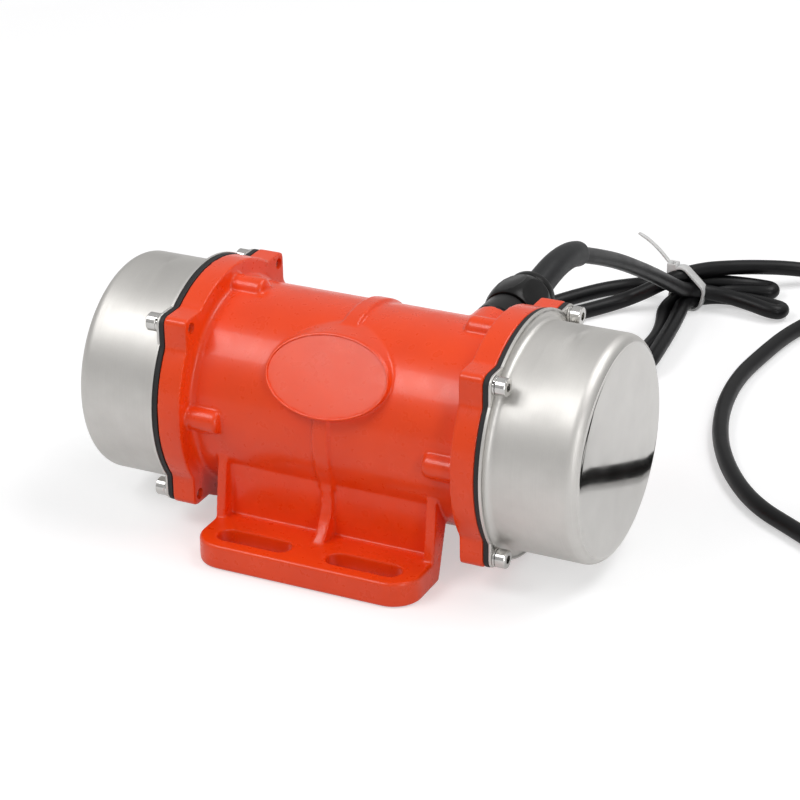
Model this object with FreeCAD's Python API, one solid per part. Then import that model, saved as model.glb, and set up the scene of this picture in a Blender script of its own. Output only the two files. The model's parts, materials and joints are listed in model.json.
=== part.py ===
"""Foot-mounted electric vibration motor with an unbalanced weight pair at each end of its shaft.

Frame: origin on the mounting plane at the centre of the foot slots, X along the shaft towards the
right-hand end, Y away from the side with the oval pad, Z up. Lengths in millimetres.
Every piece that is made twice is drawn at the right-hand end and mirrored for the left-hand end.
"""
import FreeCAD, Part
import math
import os

V = FreeCAD.Vector
X_AXIS = V(1, 0, 0)
Y_AXIS = V(0, 1, 0)
Z_AXIS = V(0, 0, 1)

# Shaft line and casting
axis_height = 49.0
housing_length = 128.4
barrel_r = 38.5
barrel_wall = 4.0
flange_t = 9.5
flange_rise = 7.7
flange_flat_drop = 8.2
flange_corner_r = 2.5
flange_blend_r = 3.0
flange_root_r = 2.5
recess_wall = 3.8

# Cover screws: a square pattern round the shaft, set in from the flats of the flange
cover_screw_inset = 4.0
m4_r = 2.0
m4_head_r = 3.5
m4_head_h = 4.0
m4_socket_af = 3.0
m4_socket_depth = 2.0
cover_screw_length = 16.0
spring_washer_t = 1.1
spring_washer_r = 3.6
thread_gap = 0.05
hole_gap = 0.25

# Sheet covers and gaskets
gasket_t = 2.0
gasket_land = 4.2
cover_sheet = 1.0
cover_rim = 3.7
cover_depth = 35.3
cover_edge_r = 5.0
cover_corner_r = 4.0
cover_neck_r = 1.5

# Feet
foot_length = 90.0
foot_width = 120.0
foot_t = 10.0
foot_corner_r = 11.0
foot_edge_r = 1.2
foot_inset = 4.5
slot_pitch_x = 45.0
slot_pitch_y = 100.8
slot_width = 9.0
slot_length = 30.0
rib_t = 4.0
centre_rib_t = 4.4
foot_low_z = foot_t - 1.0
foot_wall_inner = [(0.7, 2.9), (3.8, 12.3), (6.5, 20.5), (10.0, 25.0)]
foot_wall_back = (4.0, -16.0)
end_rib_low = [(-5.5, foot_low_z), (-5.5, 11.0), (-4.2, 20.0)]
end_rib_high = [(-1.6, -13.0), (6.0, -9.0)]
centre_rib_low = [(-11.5, foot_low_z), (-10.1, 10.2), (-5.6, 14.6), (-2.6, 19.0), (-1.7, 26.0)]
centre_rib_high = [(-2.2, -15.0), (-3.6, -8.5), (-5.0, -2.0), (4.0, -2.0)]
centre_rib_back = [(4.0, 20.0), (2.0, foot_low_z)]

# Cast details of the barrel
band_width = 6.4
band_height = 1.3
shield_boss_r = 4.8
shield_boss_length = 13.3
shield_boss_sink = 0.6
shield_screw_length = 14.0
pad_half_length = 24.7
pad_half_height = 16.1
pad_rise = 2.5
pad_tilt_deg = 36.5
pad_rim = 1.2
pad_recess = 0.6

# End shields and bearings (a 15 x 35 x 11 ball bearing)
shield_disc_t = 6.0
shield_web_t = 4.5
shield_spigot = 3.0
shield_spigot_wall = 4.0
shield_rib_t = 3.0
shield_rib_count = 8
bearing_bore_r = 7.5
bearing_r = 17.5
bearing_width = 11.0
bearing_sink = 6.7
bearing_hub_wall = 5.0
bearing_lip_t = 2.0
bearing_lip_r = 12.5
inner_ring_r = 10.2
outer_ring_bore_r = 14.6
ball_r = 2.95
ball_pitch_r = 12.45
ball_gap = 0.15
ball_count = 8
cage_half_width = 4.2
cage_half_t = 0.9
wave_washer_t = 0.8
inner_circlip_t = 1.2
seat_gap = 0.02

# Shaft, rotor and stator
shaft_mid_r = 9.0
shaft_end_r = 7.0
shaft_end_margin = 2.83
shaft_chamfer = 0.8
core_end_room = 26.7
rotor_r = 20.0
air_gap = 0.35
cage_bar_r = 1.7
cage_bar_count = 14
cage_bar_circle_r = 16.6
cage_ring_t = 5.0
cage_ring_wall = 6.0
stator_slot_count = 18
stator_slot_w = 3.4
slot_mouth_w = 1.2
stator_slot_depth = 8.6
stator_tooth_tip = 1.2
end_turn_length = 13.5
end_turn_overlap = 0.4
end_turn_wall = 8.9

# Unbalanced weights
spacer_r = 10.0
spacer_length = 5.95
weight_clearance = 5.5
weight_t = 13.0
weight_hub_r = 13.0
weight_gap = 0.3
running_gap = 0.05
key_w = 5.0
key_h = 5.0
key_length = 11.0
key_shaft_depth = 3.0
scale_disc_r = 24.0
scale_disc_t = 1.0
scale_mark_w = 0.8
scale_mark_depth = 2.0
scale_marks = 11
clamp_ear_half = 9.4
clamp_ear_top = 18.6
clamp_ear_round = 2.5
clamp_slit_w = 1.6
clamp_bolt_r = 2.5
clamp_bolt_z = 13.6
clamp_head_r = 4.25
clamp_head_h = 5.0
shaft_circlip_t = 1.1
shaft_circlip_r = 10.5
shaft_circlip_depth = 0.5
circlip_gap = 0.3

# Cable gland on the back of the barrel
gland_past_turns = 0.3
gland_drop = 10.0
gland_boss_r = 9.5
gland_face_y = 30.0
gland_thread_r = 8.0
gland_thread_length = 7.5
gland_ring_r = 9.5
gland_ring_t = 4.5
spot_face_gap = 0.4
gland_nut_af = 19.0
gland_nut_length = 18.0
gland_rim_r = 9.8
gland_rim_t = 4.0
gland_bore_r = 4.2
gland_washer_t = 0.8
sleeve_root_r = 5.7
sleeve_tip_r = 5.1
sleeve_tip_round = 1.4
sleeve_in_nut = 5.0
seal_length = 8.0
seal_r = 6.6
lead_wire_r = 0.8
lead_wire_places = [(-1.4, -0.6), (1.4, -0.6), (0.0, 1.5)]
lead_wire_end = (13.0, 20.5)

# Cable and its route: centre line of the sheath, along X and Y from the middle of the gland's rim;
# heights of the sleeve and the high part of the lead from there, those of the low parts from the ground
cable_d = 6.7
bend_share = 0.45
sleeve_route = [
    (0.0, 0.0, 0.0),
    (0.0, 10.7, 2.1),
    (0.0, 22.7, 3.5),
    (0.0, 34.7, 2.8),
    (0.0, 44.7, 0.3),
    (0.0, 54.2, -4.1),
]
lead_high = [(0.1, 69.7, -10.7), (0.2, 89.7, -19.9), (0.3, 112.7, -31.9)]
lead_low = [(0.1, 134.7, 33.7), (-0.2, 154.2, 22.6), (-1.6, 168.7, 15.6), (-4.2, 175.7, 12.4)]
run_low = [
    (-0.3, 187.2, 14.6),
    (8.2, 201.7, 13.5),
    (18.7, 213.2, 11.3),
    (32.2, 225.7, 8.2),
    (48.2, 234.2, 4.8),
    (64.2, 230.7, 3.5),
    (71.7, 216.2, 3.4),
    (66.7, 200.2, 3.4),
    (56.7, 184.2, 3.4),
    (50.6, 163.7, 3.4),
    (47.8, 140.7, 3.4),
    (45.8, 113.7, 3.4),
    (49.6, 83.7, 3.4),
    (58.7, 54.2, 3.4),
    (72.7, 27.7, 3.4),
    (90.2, 6.2, 3.4),
    (110.7, -6.8, 3.4),
    (129.2, -18.8, 3.4),
    (145.2, -26.9, 3.4),
]

# Hank: a tied waist with two short arms to the right, one to the left and one towards the motor
waist_offset = (-3.5, 181.2)
waist_heading_deg = 48.0
waist_half_length = 9.0
waist_half_width = 7.4
waist_top = 19.2
waist_bottom = 1.4
waist_corner_r = 3.0
hank_root_r = 8.0
hank_edge_r = 2.0
hank_arms = {
    "right_front": {"along": 12.0, "across": 0.0, "end": (35.2, 186.7), "end_r": 8.2, "height": 12.6},
    "right_back": {"along": 12.0, "across": 0.0, "end": (21.2, 203.2), "end_r": 8.2, "height": 10.4},
    "left": {"along": -12.0, "across": 0.0, "end": (-47.8, 150.2), "end_r": 11.2, "height": 13.4},
    "near": {"along": -8.5, "across": -5.0, "end": (5.2, 106.2), "end_r": 9.8, "height": 7.4},
}
tie_tail = (-21.8, 0.0, 11.6)

# Coil of the spare length, its tie, and the plug
coil_offset = (159.2, 8.2)
coil_mid_r = 36.0
coil_layers = 2
coil_rows = 2
coil_edge_r = 2.6
coil_exit_deg = 0.0
coil_tie_deg = 190.0
tie_width = 3.6
tie_t = 1.2
tie_gap = 0.15
tie_head = 5.4
tail_length = 31.0
plug_relief_length = 24.0
plug_relief_root_r = 6.0
plug_body_length = 38.0
plug_body_width = 26.0
plug_body_height = 19.0
plug_neck_r = 8.0
plug_corner_r = 6.0
plug_pin_r = 2.4
plug_pin_length = 19.0
plug_pin_pitch = 19.0

# Sizes that follow from the ones above
face_x = housing_length / 2
flange_inner_x = face_x - flange_t
rotor_half_length = flange_inner_x - core_end_room
end_turn_x = rotor_half_length + end_turn_length
bore_r = barrel_r - barrel_wall
flange_circle_r = barrel_r + flange_rise
flange_half = flange_circle_r - flange_flat_drop
shield_recess_r = flange_circle_r - recess_wall
shield_screw_circle_r = barrel_r
screw_half = flange_half - cover_screw_inset
cover_r = flange_circle_r - cover_rim
gasket_bore_r = flange_circle_r - gasket_land
weight_r = cover_r - cover_sheet - weight_clearance
foot_inner_y = barrel_r - foot_inset
pad_distance = barrel_r + pad_rise
gland_x = end_turn_x + gland_past_turns
gland_z = axis_height + barrel_r - gland_drop
gasket_out_x = face_x + gasket_t
cover_out_x = gasket_out_x + cover_sheet
cover_end_x = gasket_out_x + cover_depth
washer_out_x = cover_out_x + spring_washer_t
bearing_inner_x = flange_inner_x - bearing_sink
bearing_outer_x = bearing_inner_x + bearing_width
spacer_out_x = bearing_outer_x + seat_gap + spacer_length
weight_out_x = spacer_out_x + weight_t
disc_out_x = weight_out_x + scale_disc_t
adjust_in_x = disc_out_x + weight_gap
adjust_out_x = adjust_in_x + weight_t
circlip_in_x = adjust_out_x + circlip_gap
shaft_half_length = circlip_in_x + shaft_circlip_t + shaft_end_margin
nut_in_y = gland_face_y + gland_washer_t + gland_ring_t
nut_out_y = nut_in_y + gland_nut_length
rim_out_y = nut_out_y + gland_rim_t
cable_r = cable_d / 2
gland_boss_inner_y = -2.0
gland_nut_thread_r = gland_nut_af / 2 - 2.2
gland_nut_thread_length = gland_nut_length * 0.45
cable_entry_y = gland_face_y - gland_thread_length - 0.5
waist_centre = (gland_x + waist_offset[0], rim_out_y + waist_offset[1])
coil_centre = (gland_x + coil_offset[0], rim_out_y + coil_offset[1])


def at_axis(x, y, z):
    """Point given by its place along the shaft and its offsets from the shaft line."""
    return V(x, y, axis_height + z)


def rod(x0, x1, r):
    """Solid round bar on the shaft line."""
    return Part.makeCylinder(r, x1 - x0, at_axis(x0, 0, 0), X_AXIS)


def tube(x0, x1, r_out, r_in):
    """Ring on the shaft line."""
    return rod(x0, x1, r_out).cut(rod(x0 - 1, x1 + 1, r_in))


def turned(profile):
    """Solid of revolution about the shaft line from (x, r) corners."""
    wire = Part.makePolygon([at_axis(x, 0, r) for x, r in profile + profile[:1]])
    return Part.Face(wire).revolve(at_axis(0, 0, 0), X_AXIS, 360)


def block(x0, x1, y0, y1, z0, z1):
    """Rectangular block between opposite corners."""
    return Part.makeBox(x1 - x0, y1 - y0, z1 - z0, V(x0, y0, z0))


def prism(points, x0, x1):
    """Prism along X from corners (y, z)."""
    wire = Part.makePolygon([V(x0, y, z) for y, z in points + points[:1]])
    return Part.Face(wire).extrude(V(x1 - x0, 0, 0))


def joined(shapes):
    """One solid from overlapping ones, without leftover seams."""
    return shapes[0].multiFuse(shapes[1:]).removeSplitter()


def mirrored_x(shape):
    """The same piece at the left-hand end."""
    return shape.mirror(V(0, 0, 0), X_AXIS)


def mirrored_y(shape):
    """The same piece on the far side of the shaft."""
    return shape.mirror(V(0, 0, 0), Y_AXIS)


def turned_about_shaft(shape, degrees):
    """Copy turned about the shaft line."""
    copy = shape.copy()
    copy.rotate(at_axis(0, 0, 0), X_AXIS, degrees)
    return copy


def screw_places():
    """Offsets of the four cover screws from the shaft line."""
    return [(sy * screw_half, sz * screw_half) for sy in (-1, 1) for sz in (-1, 1)]


def flange_outline(x, corner_r):
    """Round flange with four square ears, blended by concave arcs."""
    reach = flange_circle_r + flange_blend_r
    offset = flange_half + flange_blend_r
    side = math.sqrt(reach**2 - offset**2)
    scale = flange_circle_r / reach
    slant = corner_r * (1 - math.sqrt(0.5))
    to_mid = math.atan2(side, offset) / 2
    dip = flange_blend_r * math.cos(to_mid), flange_blend_r * math.sin(to_mid)
    edges = []
    for quarter in range(4):
        turn = math.radians(90 * quarter)
        cos_t, sin_t = math.cos(turn), math.sin(turn)

        def place(y, z):
            return at_axis(x, y * cos_t - z * sin_t, y * sin_t + z * cos_t)

        near_circle = place(offset * scale, side * scale)
        near_line = place(flange_half, side)
        corner_a = place(flange_half, flange_half - corner_r)
        corner_m = place(flange_half - slant, flange_half - slant)
        corner_b = place(flange_half - corner_r, flange_half)
        far_line = place(side, flange_half)
        far_circle = place(side * scale, offset * scale)
        round_mid = place(0, flange_circle_r)
        next_circle = place(-side * scale, offset * scale)
        edges.append(Part.Arc(near_circle, place(offset - dip[0], side - dip[1]), near_line).toShape())
        edges.append(Part.LineSegment(near_line, corner_a).toShape())
        edges.append(Part.Arc(corner_a, corner_m, corner_b).toShape())
        edges.append(Part.LineSegment(corner_b, far_line).toShape())
        edges.append(Part.Arc(far_line, place(side - dip[1], offset - dip[0]), far_circle).toShape())
        edges.append(Part.Arc(far_circle, round_mid, next_circle).toShape())
    return Part.Wire(Part.__sortEdges__(edges))


def flange_plate(x0, x1, corner_r):
    """Plate of the eared flange outline."""
    return Part.Face(flange_outline(x0, corner_r)).extrude(V(x1 - x0, 0, 0))


def from_foot_wall(corners, height):
    """Corners (y, z) from offsets out of the wall's inner face and above a height."""
    return [(y - foot_inner_y, z + height) for y, z in corners]


def foot():
    """Front foot: slotted plate, slanted inner wall, two end ribs and a centre rib."""
    half = foot_length / 2
    edge_y = -foot_width / 2
    plate = block(-half, half, edge_y, -foot_inner_y, 0, foot_t)
    corners = [e for e in plate.Edges if e.Length == foot_t and abs(e.CenterOfMass.y - edge_y) < 0.1]
    plate = plate.makeFillet(foot_corner_r, corners)
    top = [e for e in plate.Edges if e.BoundBox.ZMin > foot_t - 0.01 and e.CenterOfMass.y < -foot_inner_y - 1]
    plate = plate.makeFillet(foot_edge_r, top)
    wall_top = axis_height - math.sqrt(barrel_r**2 - foot_inner_y**2)
    inner_face = [(-foot_inner_y, 0)] + from_foot_wall(foot_wall_inner, 0)
    wall_back = from_foot_wall([foot_wall_back], axis_height) + [(-foot_inner_y, wall_top + 1)]
    wall = prism(inner_face + wall_back, -half, half)
    end_rib = from_foot_wall(end_rib_low, 0) + from_foot_wall(end_rib_high, axis_height)
    end_rib += inner_face[3:1:-1]
    centre_rib = from_foot_wall(centre_rib_low, 0) + from_foot_wall(centre_rib_high, axis_height)
    centre_rib += from_foot_wall(centre_rib_back, 0)
    ribs = [
        prism(end_rib, half - rib_t, half),
        prism(end_rib, -half, rib_t - half),
        prism(centre_rib, -centre_rib_t / 2, centre_rib_t / 2),
    ]
    return [plate, wall] + ribs


def foot_slots():
    """Through slots of both feet, running along X."""
    r = slot_width / 2
    straight = (slot_length - slot_width) / 2
    cuts = []
    for sx in (-1, 1):
        for sy in (-1, 1):
            x, y = sx * slot_pitch_x / 2, sy * slot_pitch_y / 2
            ends = [Part.makeCylinder(r, foot_t + 2, V(x + s * straight, y, -1)) for s in (-1, 1)]
            middle = block(x - straight, x + straight, y - r, y + r, -1, foot_t + 1)
            cuts.append(joined(ends + [middle]))
    return cuts


def shield_bosses():
    """Four bosses behind the right-hand flange, for the screws of the end shield."""
    bosses = []
    start = flange_inner_x - shield_boss_length
    for quarter in range(4):
        middle = at_axis(start, 0, shield_screw_circle_r - shield_boss_sink)
        post = Part.makeCylinder(shield_boss_r, shield_boss_length + 1, middle, X_AXIS)
        end_edge = [e for e in post.Edges if e.BoundBox.XMax < start + 0.01]
        post = post.makeFillet(shield_boss_r * 0.45, end_edge)
        bosses.append(turned_about_shaft(post, 90 * quarter))
    return bosses


def pad_ellipse(half_length, half_height, lift):
    """Elliptical face parallel to the pad, lifted along the pad's normal."""
    tilt = math.radians(pad_tilt_deg)
    normal = V(0, -math.cos(tilt), math.sin(tilt))
    centre = at_axis(0, 0, 0) + normal * (pad_distance + lift)
    upward = V(0, math.sin(tilt), math.cos(tilt))
    curve = Part.Ellipse(centre + X_AXIS * half_length, centre + upward * half_height, centre)
    return Part.Face(Part.Wire(curve.toShape())), normal


def oval_pad():
    """Raised oval pad on the front of the barrel, drawn out along Y, with a shallow recess."""
    face, normal = pad_ellipse(pad_half_length, pad_half_height, 0)
    body = face.extrude(Y_AXIS * (barrel_r * 0.55))
    inner, normal = pad_ellipse(pad_half_length - pad_rim, pad_half_height - pad_rim, 1.0)
    return body, inner.extrude(normal * -(pad_recess + 1.0))


def housing():
    """One casting: barrel, eared flanges, feet, bosses, oval pad and gland boss."""
    right_flange = flange_plate(flange_inner_x, face_x, flange_corner_r)
    root = turned([
        (flange_inner_x - flange_root_r, barrel_r - 1),
        (flange_inner_x - flange_root_r, barrel_r),
        (flange_inner_x - flange_root_r * 0.29, barrel_r + flange_root_r * 0.29),
        (flange_inner_x, barrel_r + flange_root_r),
        (flange_inner_x + 1, barrel_r - 1),
    ])
    band = rod(-band_width / 2, band_width / 2, barrel_r + band_height)
    boss = Part.makeCylinder(
        gland_boss_r, gland_face_y - gland_boss_inner_y, V(gland_x, gland_boss_inner_y, gland_z), Y_AXIS
    )
    pad, pad_cut = oval_pad()
    ends = [right_flange, root] + shield_bosses()
    solids = [rod(-face_x + 1, face_x - 1, barrel_r), band, pad, boss]
    solids += ends + [mirrored_x(s) for s in ends]
    solids += foot() + [mirrored_y(s) for s in foot()]
    body = joined(solids)
    cuts = [rod(-face_x - 1, face_x + 1, bore_r), pad_cut] + foot_slots()
    recess = rod(flange_inner_x, face_x + 1, shield_recess_r)
    hole_start = at_axis(flange_inner_x - shield_screw_length + 1.5, 0, shield_screw_circle_r)
    screw_hole = Part.makeCylinder(m4_r + thread_gap, shield_screw_length, hole_start, X_AXIS)
    holes = [recess] + [turned_about_shaft(screw_hole, 90 * q) for q in range(4)]
    for y, z in screw_places():
        start = at_axis(flange_inner_x - 1, y, z)
        holes.append(Part.makeCylinder(m4_r + thread_gap, flange_t + 2, start, X_AXIS))
    cuts += holes + [mirrored_x(h) for h in holes]
    cuts.append(on_gland(gland_face_y / 2, gland_thread_r, gland_face_y))
    cuts.append(on_gland(gland_face_y, gland_ring_r + spot_face_gap, barrel_r))
    return body.cut(Part.makeCompound(cuts))


def end_shield(pocket_x):
    """Bearing shield of the right-hand end; its bearing pocket starts at pocket_x."""
    disc_out = flange_inner_x + shield_disc_t
    hub_out = bearing_outer_x + inner_circlip_t + 1.3
    hub_r = bearing_r + bearing_hub_wall
    web_in = disc_out - shield_web_t
    spigot_in = flange_inner_x - shield_spigot
    spigot_r = bore_r - seat_gap
    disc_r = shield_recess_r - seat_gap
    body = turned([
        (spigot_in, spigot_r - shield_spigot_wall),
        (spigot_in, spigot_r),
        (flange_inner_x, spigot_r),
        (flange_inner_x, disc_r),
        (disc_out, disc_r),
        (disc_out, hub_r + 1.0),
        (hub_out, hub_r - 1.0),
        (hub_out, bearing_r + seat_gap),
        (pocket_x, bearing_r + seat_gap),
        (pocket_x, bearing_lip_r),
        (pocket_x - bearing_lip_t, bearing_lip_r),
        (pocket_x - bearing_lip_t, hub_r - 1.0),
        (web_in, hub_r),
        (web_in, spigot_r - shield_spigot_wall),
    ])
    ribs = []
    for step in range(shield_rib_count):
        rib = block(
            spigot_in, web_in + 0.5, -shield_rib_t / 2, shield_rib_t / 2,
            axis_height + hub_r - 1.5, axis_height + spigot_r - shield_spigot_wall + 1.0
        )
        ribs.append(turned_about_shaft(rib, (step + 0.5) * 360.0 / shield_rib_count))
    body = joined([body] + ribs)
    groove = tube(bearing_outer_x, bearing_outer_x + inner_circlip_t, bearing_r + 1.0, bearing_r - 1)
    hole_start = at_axis(flange_inner_x - 5, 0, shield_screw_circle_r)
    hole = Part.makeCylinder(m4_r + hole_gap, shield_screw_length + shield_disc_t, hole_start, X_AXIS)
    holes = [turned_about_shaft(hole, 90 * q) for q in range(4)]
    return body.cut(Part.makeCompound([groove] + holes))


def socket_screw(head_r, head_h, shank_r, length, socket_af, socket_depth):
    """Hexagon socket screw along +X with its head seat at the origin and its shank towards -X."""
    head = Part.makeCylinder(head_r, head_h, V(0, 0, 0), X_AXIS)
    rim = [e for e in head.Edges if e.BoundBox.XMin > head_h - 0.01]
    head = head.makeChamfer(head_r * 0.1, rim)
    shank = Part.makeCylinder(shank_r, length, V(-length, 0, 0), X_AXIS)
    tip = [e for e in shank.Edges if e.BoundBox.XMax < -length + 0.01]
    shank = shank.makeChamfer(shank_r * 0.2, tip)
    corner = socket_af / math.sqrt(3)
    hexagon = [V(head_h + 0.5, corner * math.cos(math.radians(a)), corner * math.sin(math.radians(a)))
               for a in range(0, 361, 60)]
    socket = Part.Face(Part.makePolygon(hexagon)).extrude(V(-socket_depth - 0.5, 0, 0))
    return joined([head, shank]).cut(socket)


def moved(shape, point):
    """Copy moved from the origin to a point."""
    copy = shape.copy()
    copy.translate(point)
    return copy


def both_ends(shapes):
    """Compound of right-hand pieces and their left-hand twins."""
    return Part.makeCompound(list(shapes) + [mirrored_x(s) for s in shapes])


def cover_screws():
    """Eight cover screws, four at each end."""
    screw = socket_screw(m4_head_r, m4_head_h, m4_r, cover_screw_length, m4_socket_af, m4_socket_depth)
    return both_ends([moved(screw, at_axis(washer_out_x, y, z)) for y, z in screw_places()])


def spring_washers():
    """Eight split spring washers under the cover screw heads."""
    ring = Part.makeCylinder(spring_washer_r, spring_washer_t, V(0, 0, 0), X_AXIS)
    ring = ring.cut(Part.makeCylinder(m4_r + hole_gap / 2, spring_washer_t, V(0, 0, 0), X_AXIS))
    slit = block(-1, spring_washer_t + 1, -0.3, 0.3, 0, spring_washer_r + 1)
    ring = ring.cut(slit)
    return both_ends([moved(ring, at_axis(cover_out_x, y, z)) for y, z in screw_places()])


def shield_screws():
    """Eight screws that hold the end shields."""
    head_h, depth = m4_head_h * 0.75, m4_socket_depth * 0.8
    screw = socket_screw(m4_head_r, head_h, m4_r, shield_screw_length, m4_socket_af, depth)
    seat = flange_inner_x + shield_disc_t
    one = moved(screw, at_axis(seat, 0, shield_screw_circle_r))
    return both_ends([turned_about_shaft(one, 90 * q) for q in range(4)])


def gasket():
    """Flat rubber gasket between the flange and the cover."""
    plate = flange_plate(face_x, gasket_out_x, cover_corner_r)
    holes = [rod(face_x - 1, gasket_out_x + 1, gasket_bore_r)]
    for y, z in screw_places():
        holes.append(Part.makeCylinder(m4_r + hole_gap, gasket_t + 2, at_axis(face_x - 1, y, z), X_AXIS))
    return plate.cut(Part.makeCompound(holes))


def cover():
    """Pressed sheet cover: flat flange, straight wall, rounded end edge."""
    inner_r = cover_r - cover_sheet
    inner_edge = cover_edge_r - cover_sheet
    half = math.sqrt(0.5)

    def p(x, r):
        return at_axis(x, 0, r)

    def arc(x0, r0, xm, rm, x1, r1):
        return Part.Arc(p(x0, r0), p(xm, rm), p(x1, r1)).toShape()

    def line(x0, r0, x1, r1):
        return Part.LineSegment(p(x0, r0), p(x1, r1)).toShape()

    neck_x = cover_out_x + cover_neck_r
    neck_top = cover_r + cover_neck_r
    end_c = cover_end_x - cover_edge_r
    rim_r = cover_r - cover_edge_r
    sheet_x = cover_end_x - cover_sheet
    neck_k = cover_neck_r * half
    edges = [
        line(gasket_out_x, inner_r, gasket_out_x, neck_top),
        line(gasket_out_x, neck_top, cover_out_x, neck_top),
        arc(cover_out_x, neck_top, neck_x - neck_k, neck_top - neck_k, neck_x, cover_r),
        line(neck_x, cover_r, end_c, cover_r),
        arc(end_c, cover_r, end_c + cover_edge_r * half, rim_r + cover_edge_r * half, cover_end_x, rim_r),
        line(cover_end_x, rim_r, cover_end_x, 0),
        line(cover_end_x, 0, sheet_x, 0),
        line(sheet_x, 0, sheet_x, rim_r),
        arc(sheet_x, rim_r, end_c + inner_edge * half, rim_r + inner_edge * half, end_c, inner_r),
        line(end_c, inner_r, gasket_out_x, inner_r),
    ]
    cup = Part.Face(Part.Wire(Part.__sortEdges__(edges))).revolve(at_axis(0, 0, 0), X_AXIS, 360)
    plate = flange_plate(gasket_out_x, cover_out_x, cover_corner_r)
    holes = [rod(gasket_out_x - 1, cover_out_x + 1, cover_r)]
    for y, z in screw_places():
        start = at_axis(gasket_out_x - 1, y, z)
        holes.append(Part.makeCylinder(m4_r + hole_gap, cover_sheet + 2, start, X_AXIS))
    return joined([cup, plate.cut(Part.makeCompound(holes))])


def stator_slot(x0, x1, depth_share, width):
    """Slot-shaped bar above the bore, for the slots and for what fills them."""
    r0 = rotor_r + air_gap + stator_tooth_tip
    r1 = r0 + stator_slot_depth * depth_share
    return block(x0, x1, -width / 2, width / 2, axis_height + r0, axis_height + r1)


def stator_core():
    """Laminated stator pack with open winding slots."""
    half = rotor_half_length
    pack = tube(-half, half, bore_r - seat_gap, rotor_r + air_gap)
    cuts = []
    for step in range(stator_slot_count):
        turn = 360.0 * step / stator_slot_count
        mouth_z = axis_height + rotor_r
        mouth = block(
            -half - 1, half + 1, -slot_mouth_w / 2, slot_mouth_w / 2, mouth_z - 1, mouth_z + air_gap + 2
        )
        cuts.append(turned_about_shaft(stator_slot(-half - 1, half + 1, 1.0, stator_slot_w), turn))
        cuts.append(turned_about_shaft(mouth, turn))
    return pack.cut(Part.makeCompound(cuts))


def stator_winding():
    """Winding: bars that fill the slots and a bound ring of end turns at each end."""
    half = rotor_half_length
    r_in = rotor_r + air_gap + stator_tooth_tip - end_turn_overlap
    r_out = r_in + end_turn_wall
    soft = 2.5
    ring = turned([
        (half + 0.1, r_in),
        (half + 0.1, r_out),
        (half + end_turn_length - soft, r_out),
        (half + end_turn_length, r_out - soft),
        (half + end_turn_length, r_in + soft),
        (half + end_turn_length - soft, r_in),
    ])
    bars = []
    for step in range(stator_slot_count):
        bar = stator_slot(-half - 1, half + 1, 0.97, stator_slot_w - 0.2)
        bars.append(turned_about_shaft(bar, 360.0 * step / stator_slot_count))
    return joined([ring, mirrored_x(ring)] + bars)


def shaft_key_box(extra):
    """Space of the key of the right-hand fixed weight, widened by a gap."""
    middle = (spacer_out_x + weight_out_x) / 2
    bottom = axis_height + shaft_end_r - key_shaft_depth
    return block(
        middle - key_length / 2 - extra, middle + key_length / 2 + extra,
        -key_w / 2 - extra, key_w / 2 + extra,
        bottom - extra, bottom + key_h + extra
    )


def rotor_shaft():
    """Shaft: thick middle, bearing seats, thinner ends with circlip grooves and keyways."""
    c = shaft_chamfer
    groove_r = shaft_end_r - shaft_circlip_depth
    groove_out = circlip_in_x + shaft_circlip_t
    right = [
        (0, 0),
        (0, shaft_mid_r),
        (bearing_inner_x - c, shaft_mid_r),
        (bearing_inner_x, shaft_mid_r - c),
        (bearing_inner_x, bearing_bore_r),
        (bearing_outer_x, bearing_bore_r),
        (bearing_outer_x, shaft_end_r),
        (circlip_in_x, shaft_end_r),
        (circlip_in_x, groove_r),
        (groove_out, groove_r),
        (groove_out, shaft_end_r),
        (shaft_half_length - c, shaft_end_r),
        (shaft_half_length, shaft_end_r - c),
        (shaft_half_length, 0),
    ]
    half = turned(right).cut(shaft_key_box(seat_gap))
    return joined([half, mirrored_x(half)])


def rotor_bars(r, half):
    """Round bars of the squirrel cage."""
    bar = Part.makeCylinder(r, 2 * half, at_axis(-half, 0, cage_bar_circle_r), X_AXIS)
    return [turned_about_shaft(bar, 360.0 * s / cage_bar_count) for s in range(cage_bar_count)]


def rotor_core():
    """Laminated rotor pack with holes for the cage bars."""
    pack = tube(-rotor_half_length, rotor_half_length, rotor_r, shaft_mid_r + seat_gap)
    return pack.cut(Part.makeCompound(rotor_bars(cage_bar_r + seat_gap, rotor_half_length + 1)))


def rotor_cage():
    """Squirrel cage: bars joined by a ring at each end."""
    r_out = rotor_r - 0.6
    ring = tube(rotor_half_length + seat_gap, rotor_half_length + cage_ring_t, r_out, r_out - cage_ring_wall)
    return joined([ring, mirrored_x(ring)] + rotor_bars(cage_bar_r, rotor_half_length + 1))


def ball_groove():
    """Ring-shaped track in which the balls run."""
    middle = bearing_inner_x + bearing_width / 2
    return Part.makeTorus(ball_pitch_r, ball_r + ball_gap, at_axis(middle, 0, 0), X_AXIS)


def bearing_outer_ring():
    """Outer ring of the ball bearing."""
    ring = tube(bearing_inner_x, bearing_outer_x, bearing_r, outer_ring_bore_r)
    return ring.cut(ball_groove())


def bearing_inner_ring():
    """Inner ring of the ball bearing."""
    ring = tube(bearing_inner_x + seat_gap, bearing_outer_x, inner_ring_r, bearing_bore_r + seat_gap)
    return ring.cut(ball_groove())


def ball_places():
    """Centres of the bearing balls."""
    middle = bearing_inner_x + bearing_width / 2
    for step in range(ball_count):
        turn = 2 * math.pi * step / ball_count
        yield at_axis(middle, ball_pitch_r * math.sin(turn), ball_pitch_r * math.cos(turn))


def bearing_balls():
    """Balls of one bearing."""
    return Part.makeCompound([Part.makeSphere(ball_r, place) for place in ball_places()])


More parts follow.
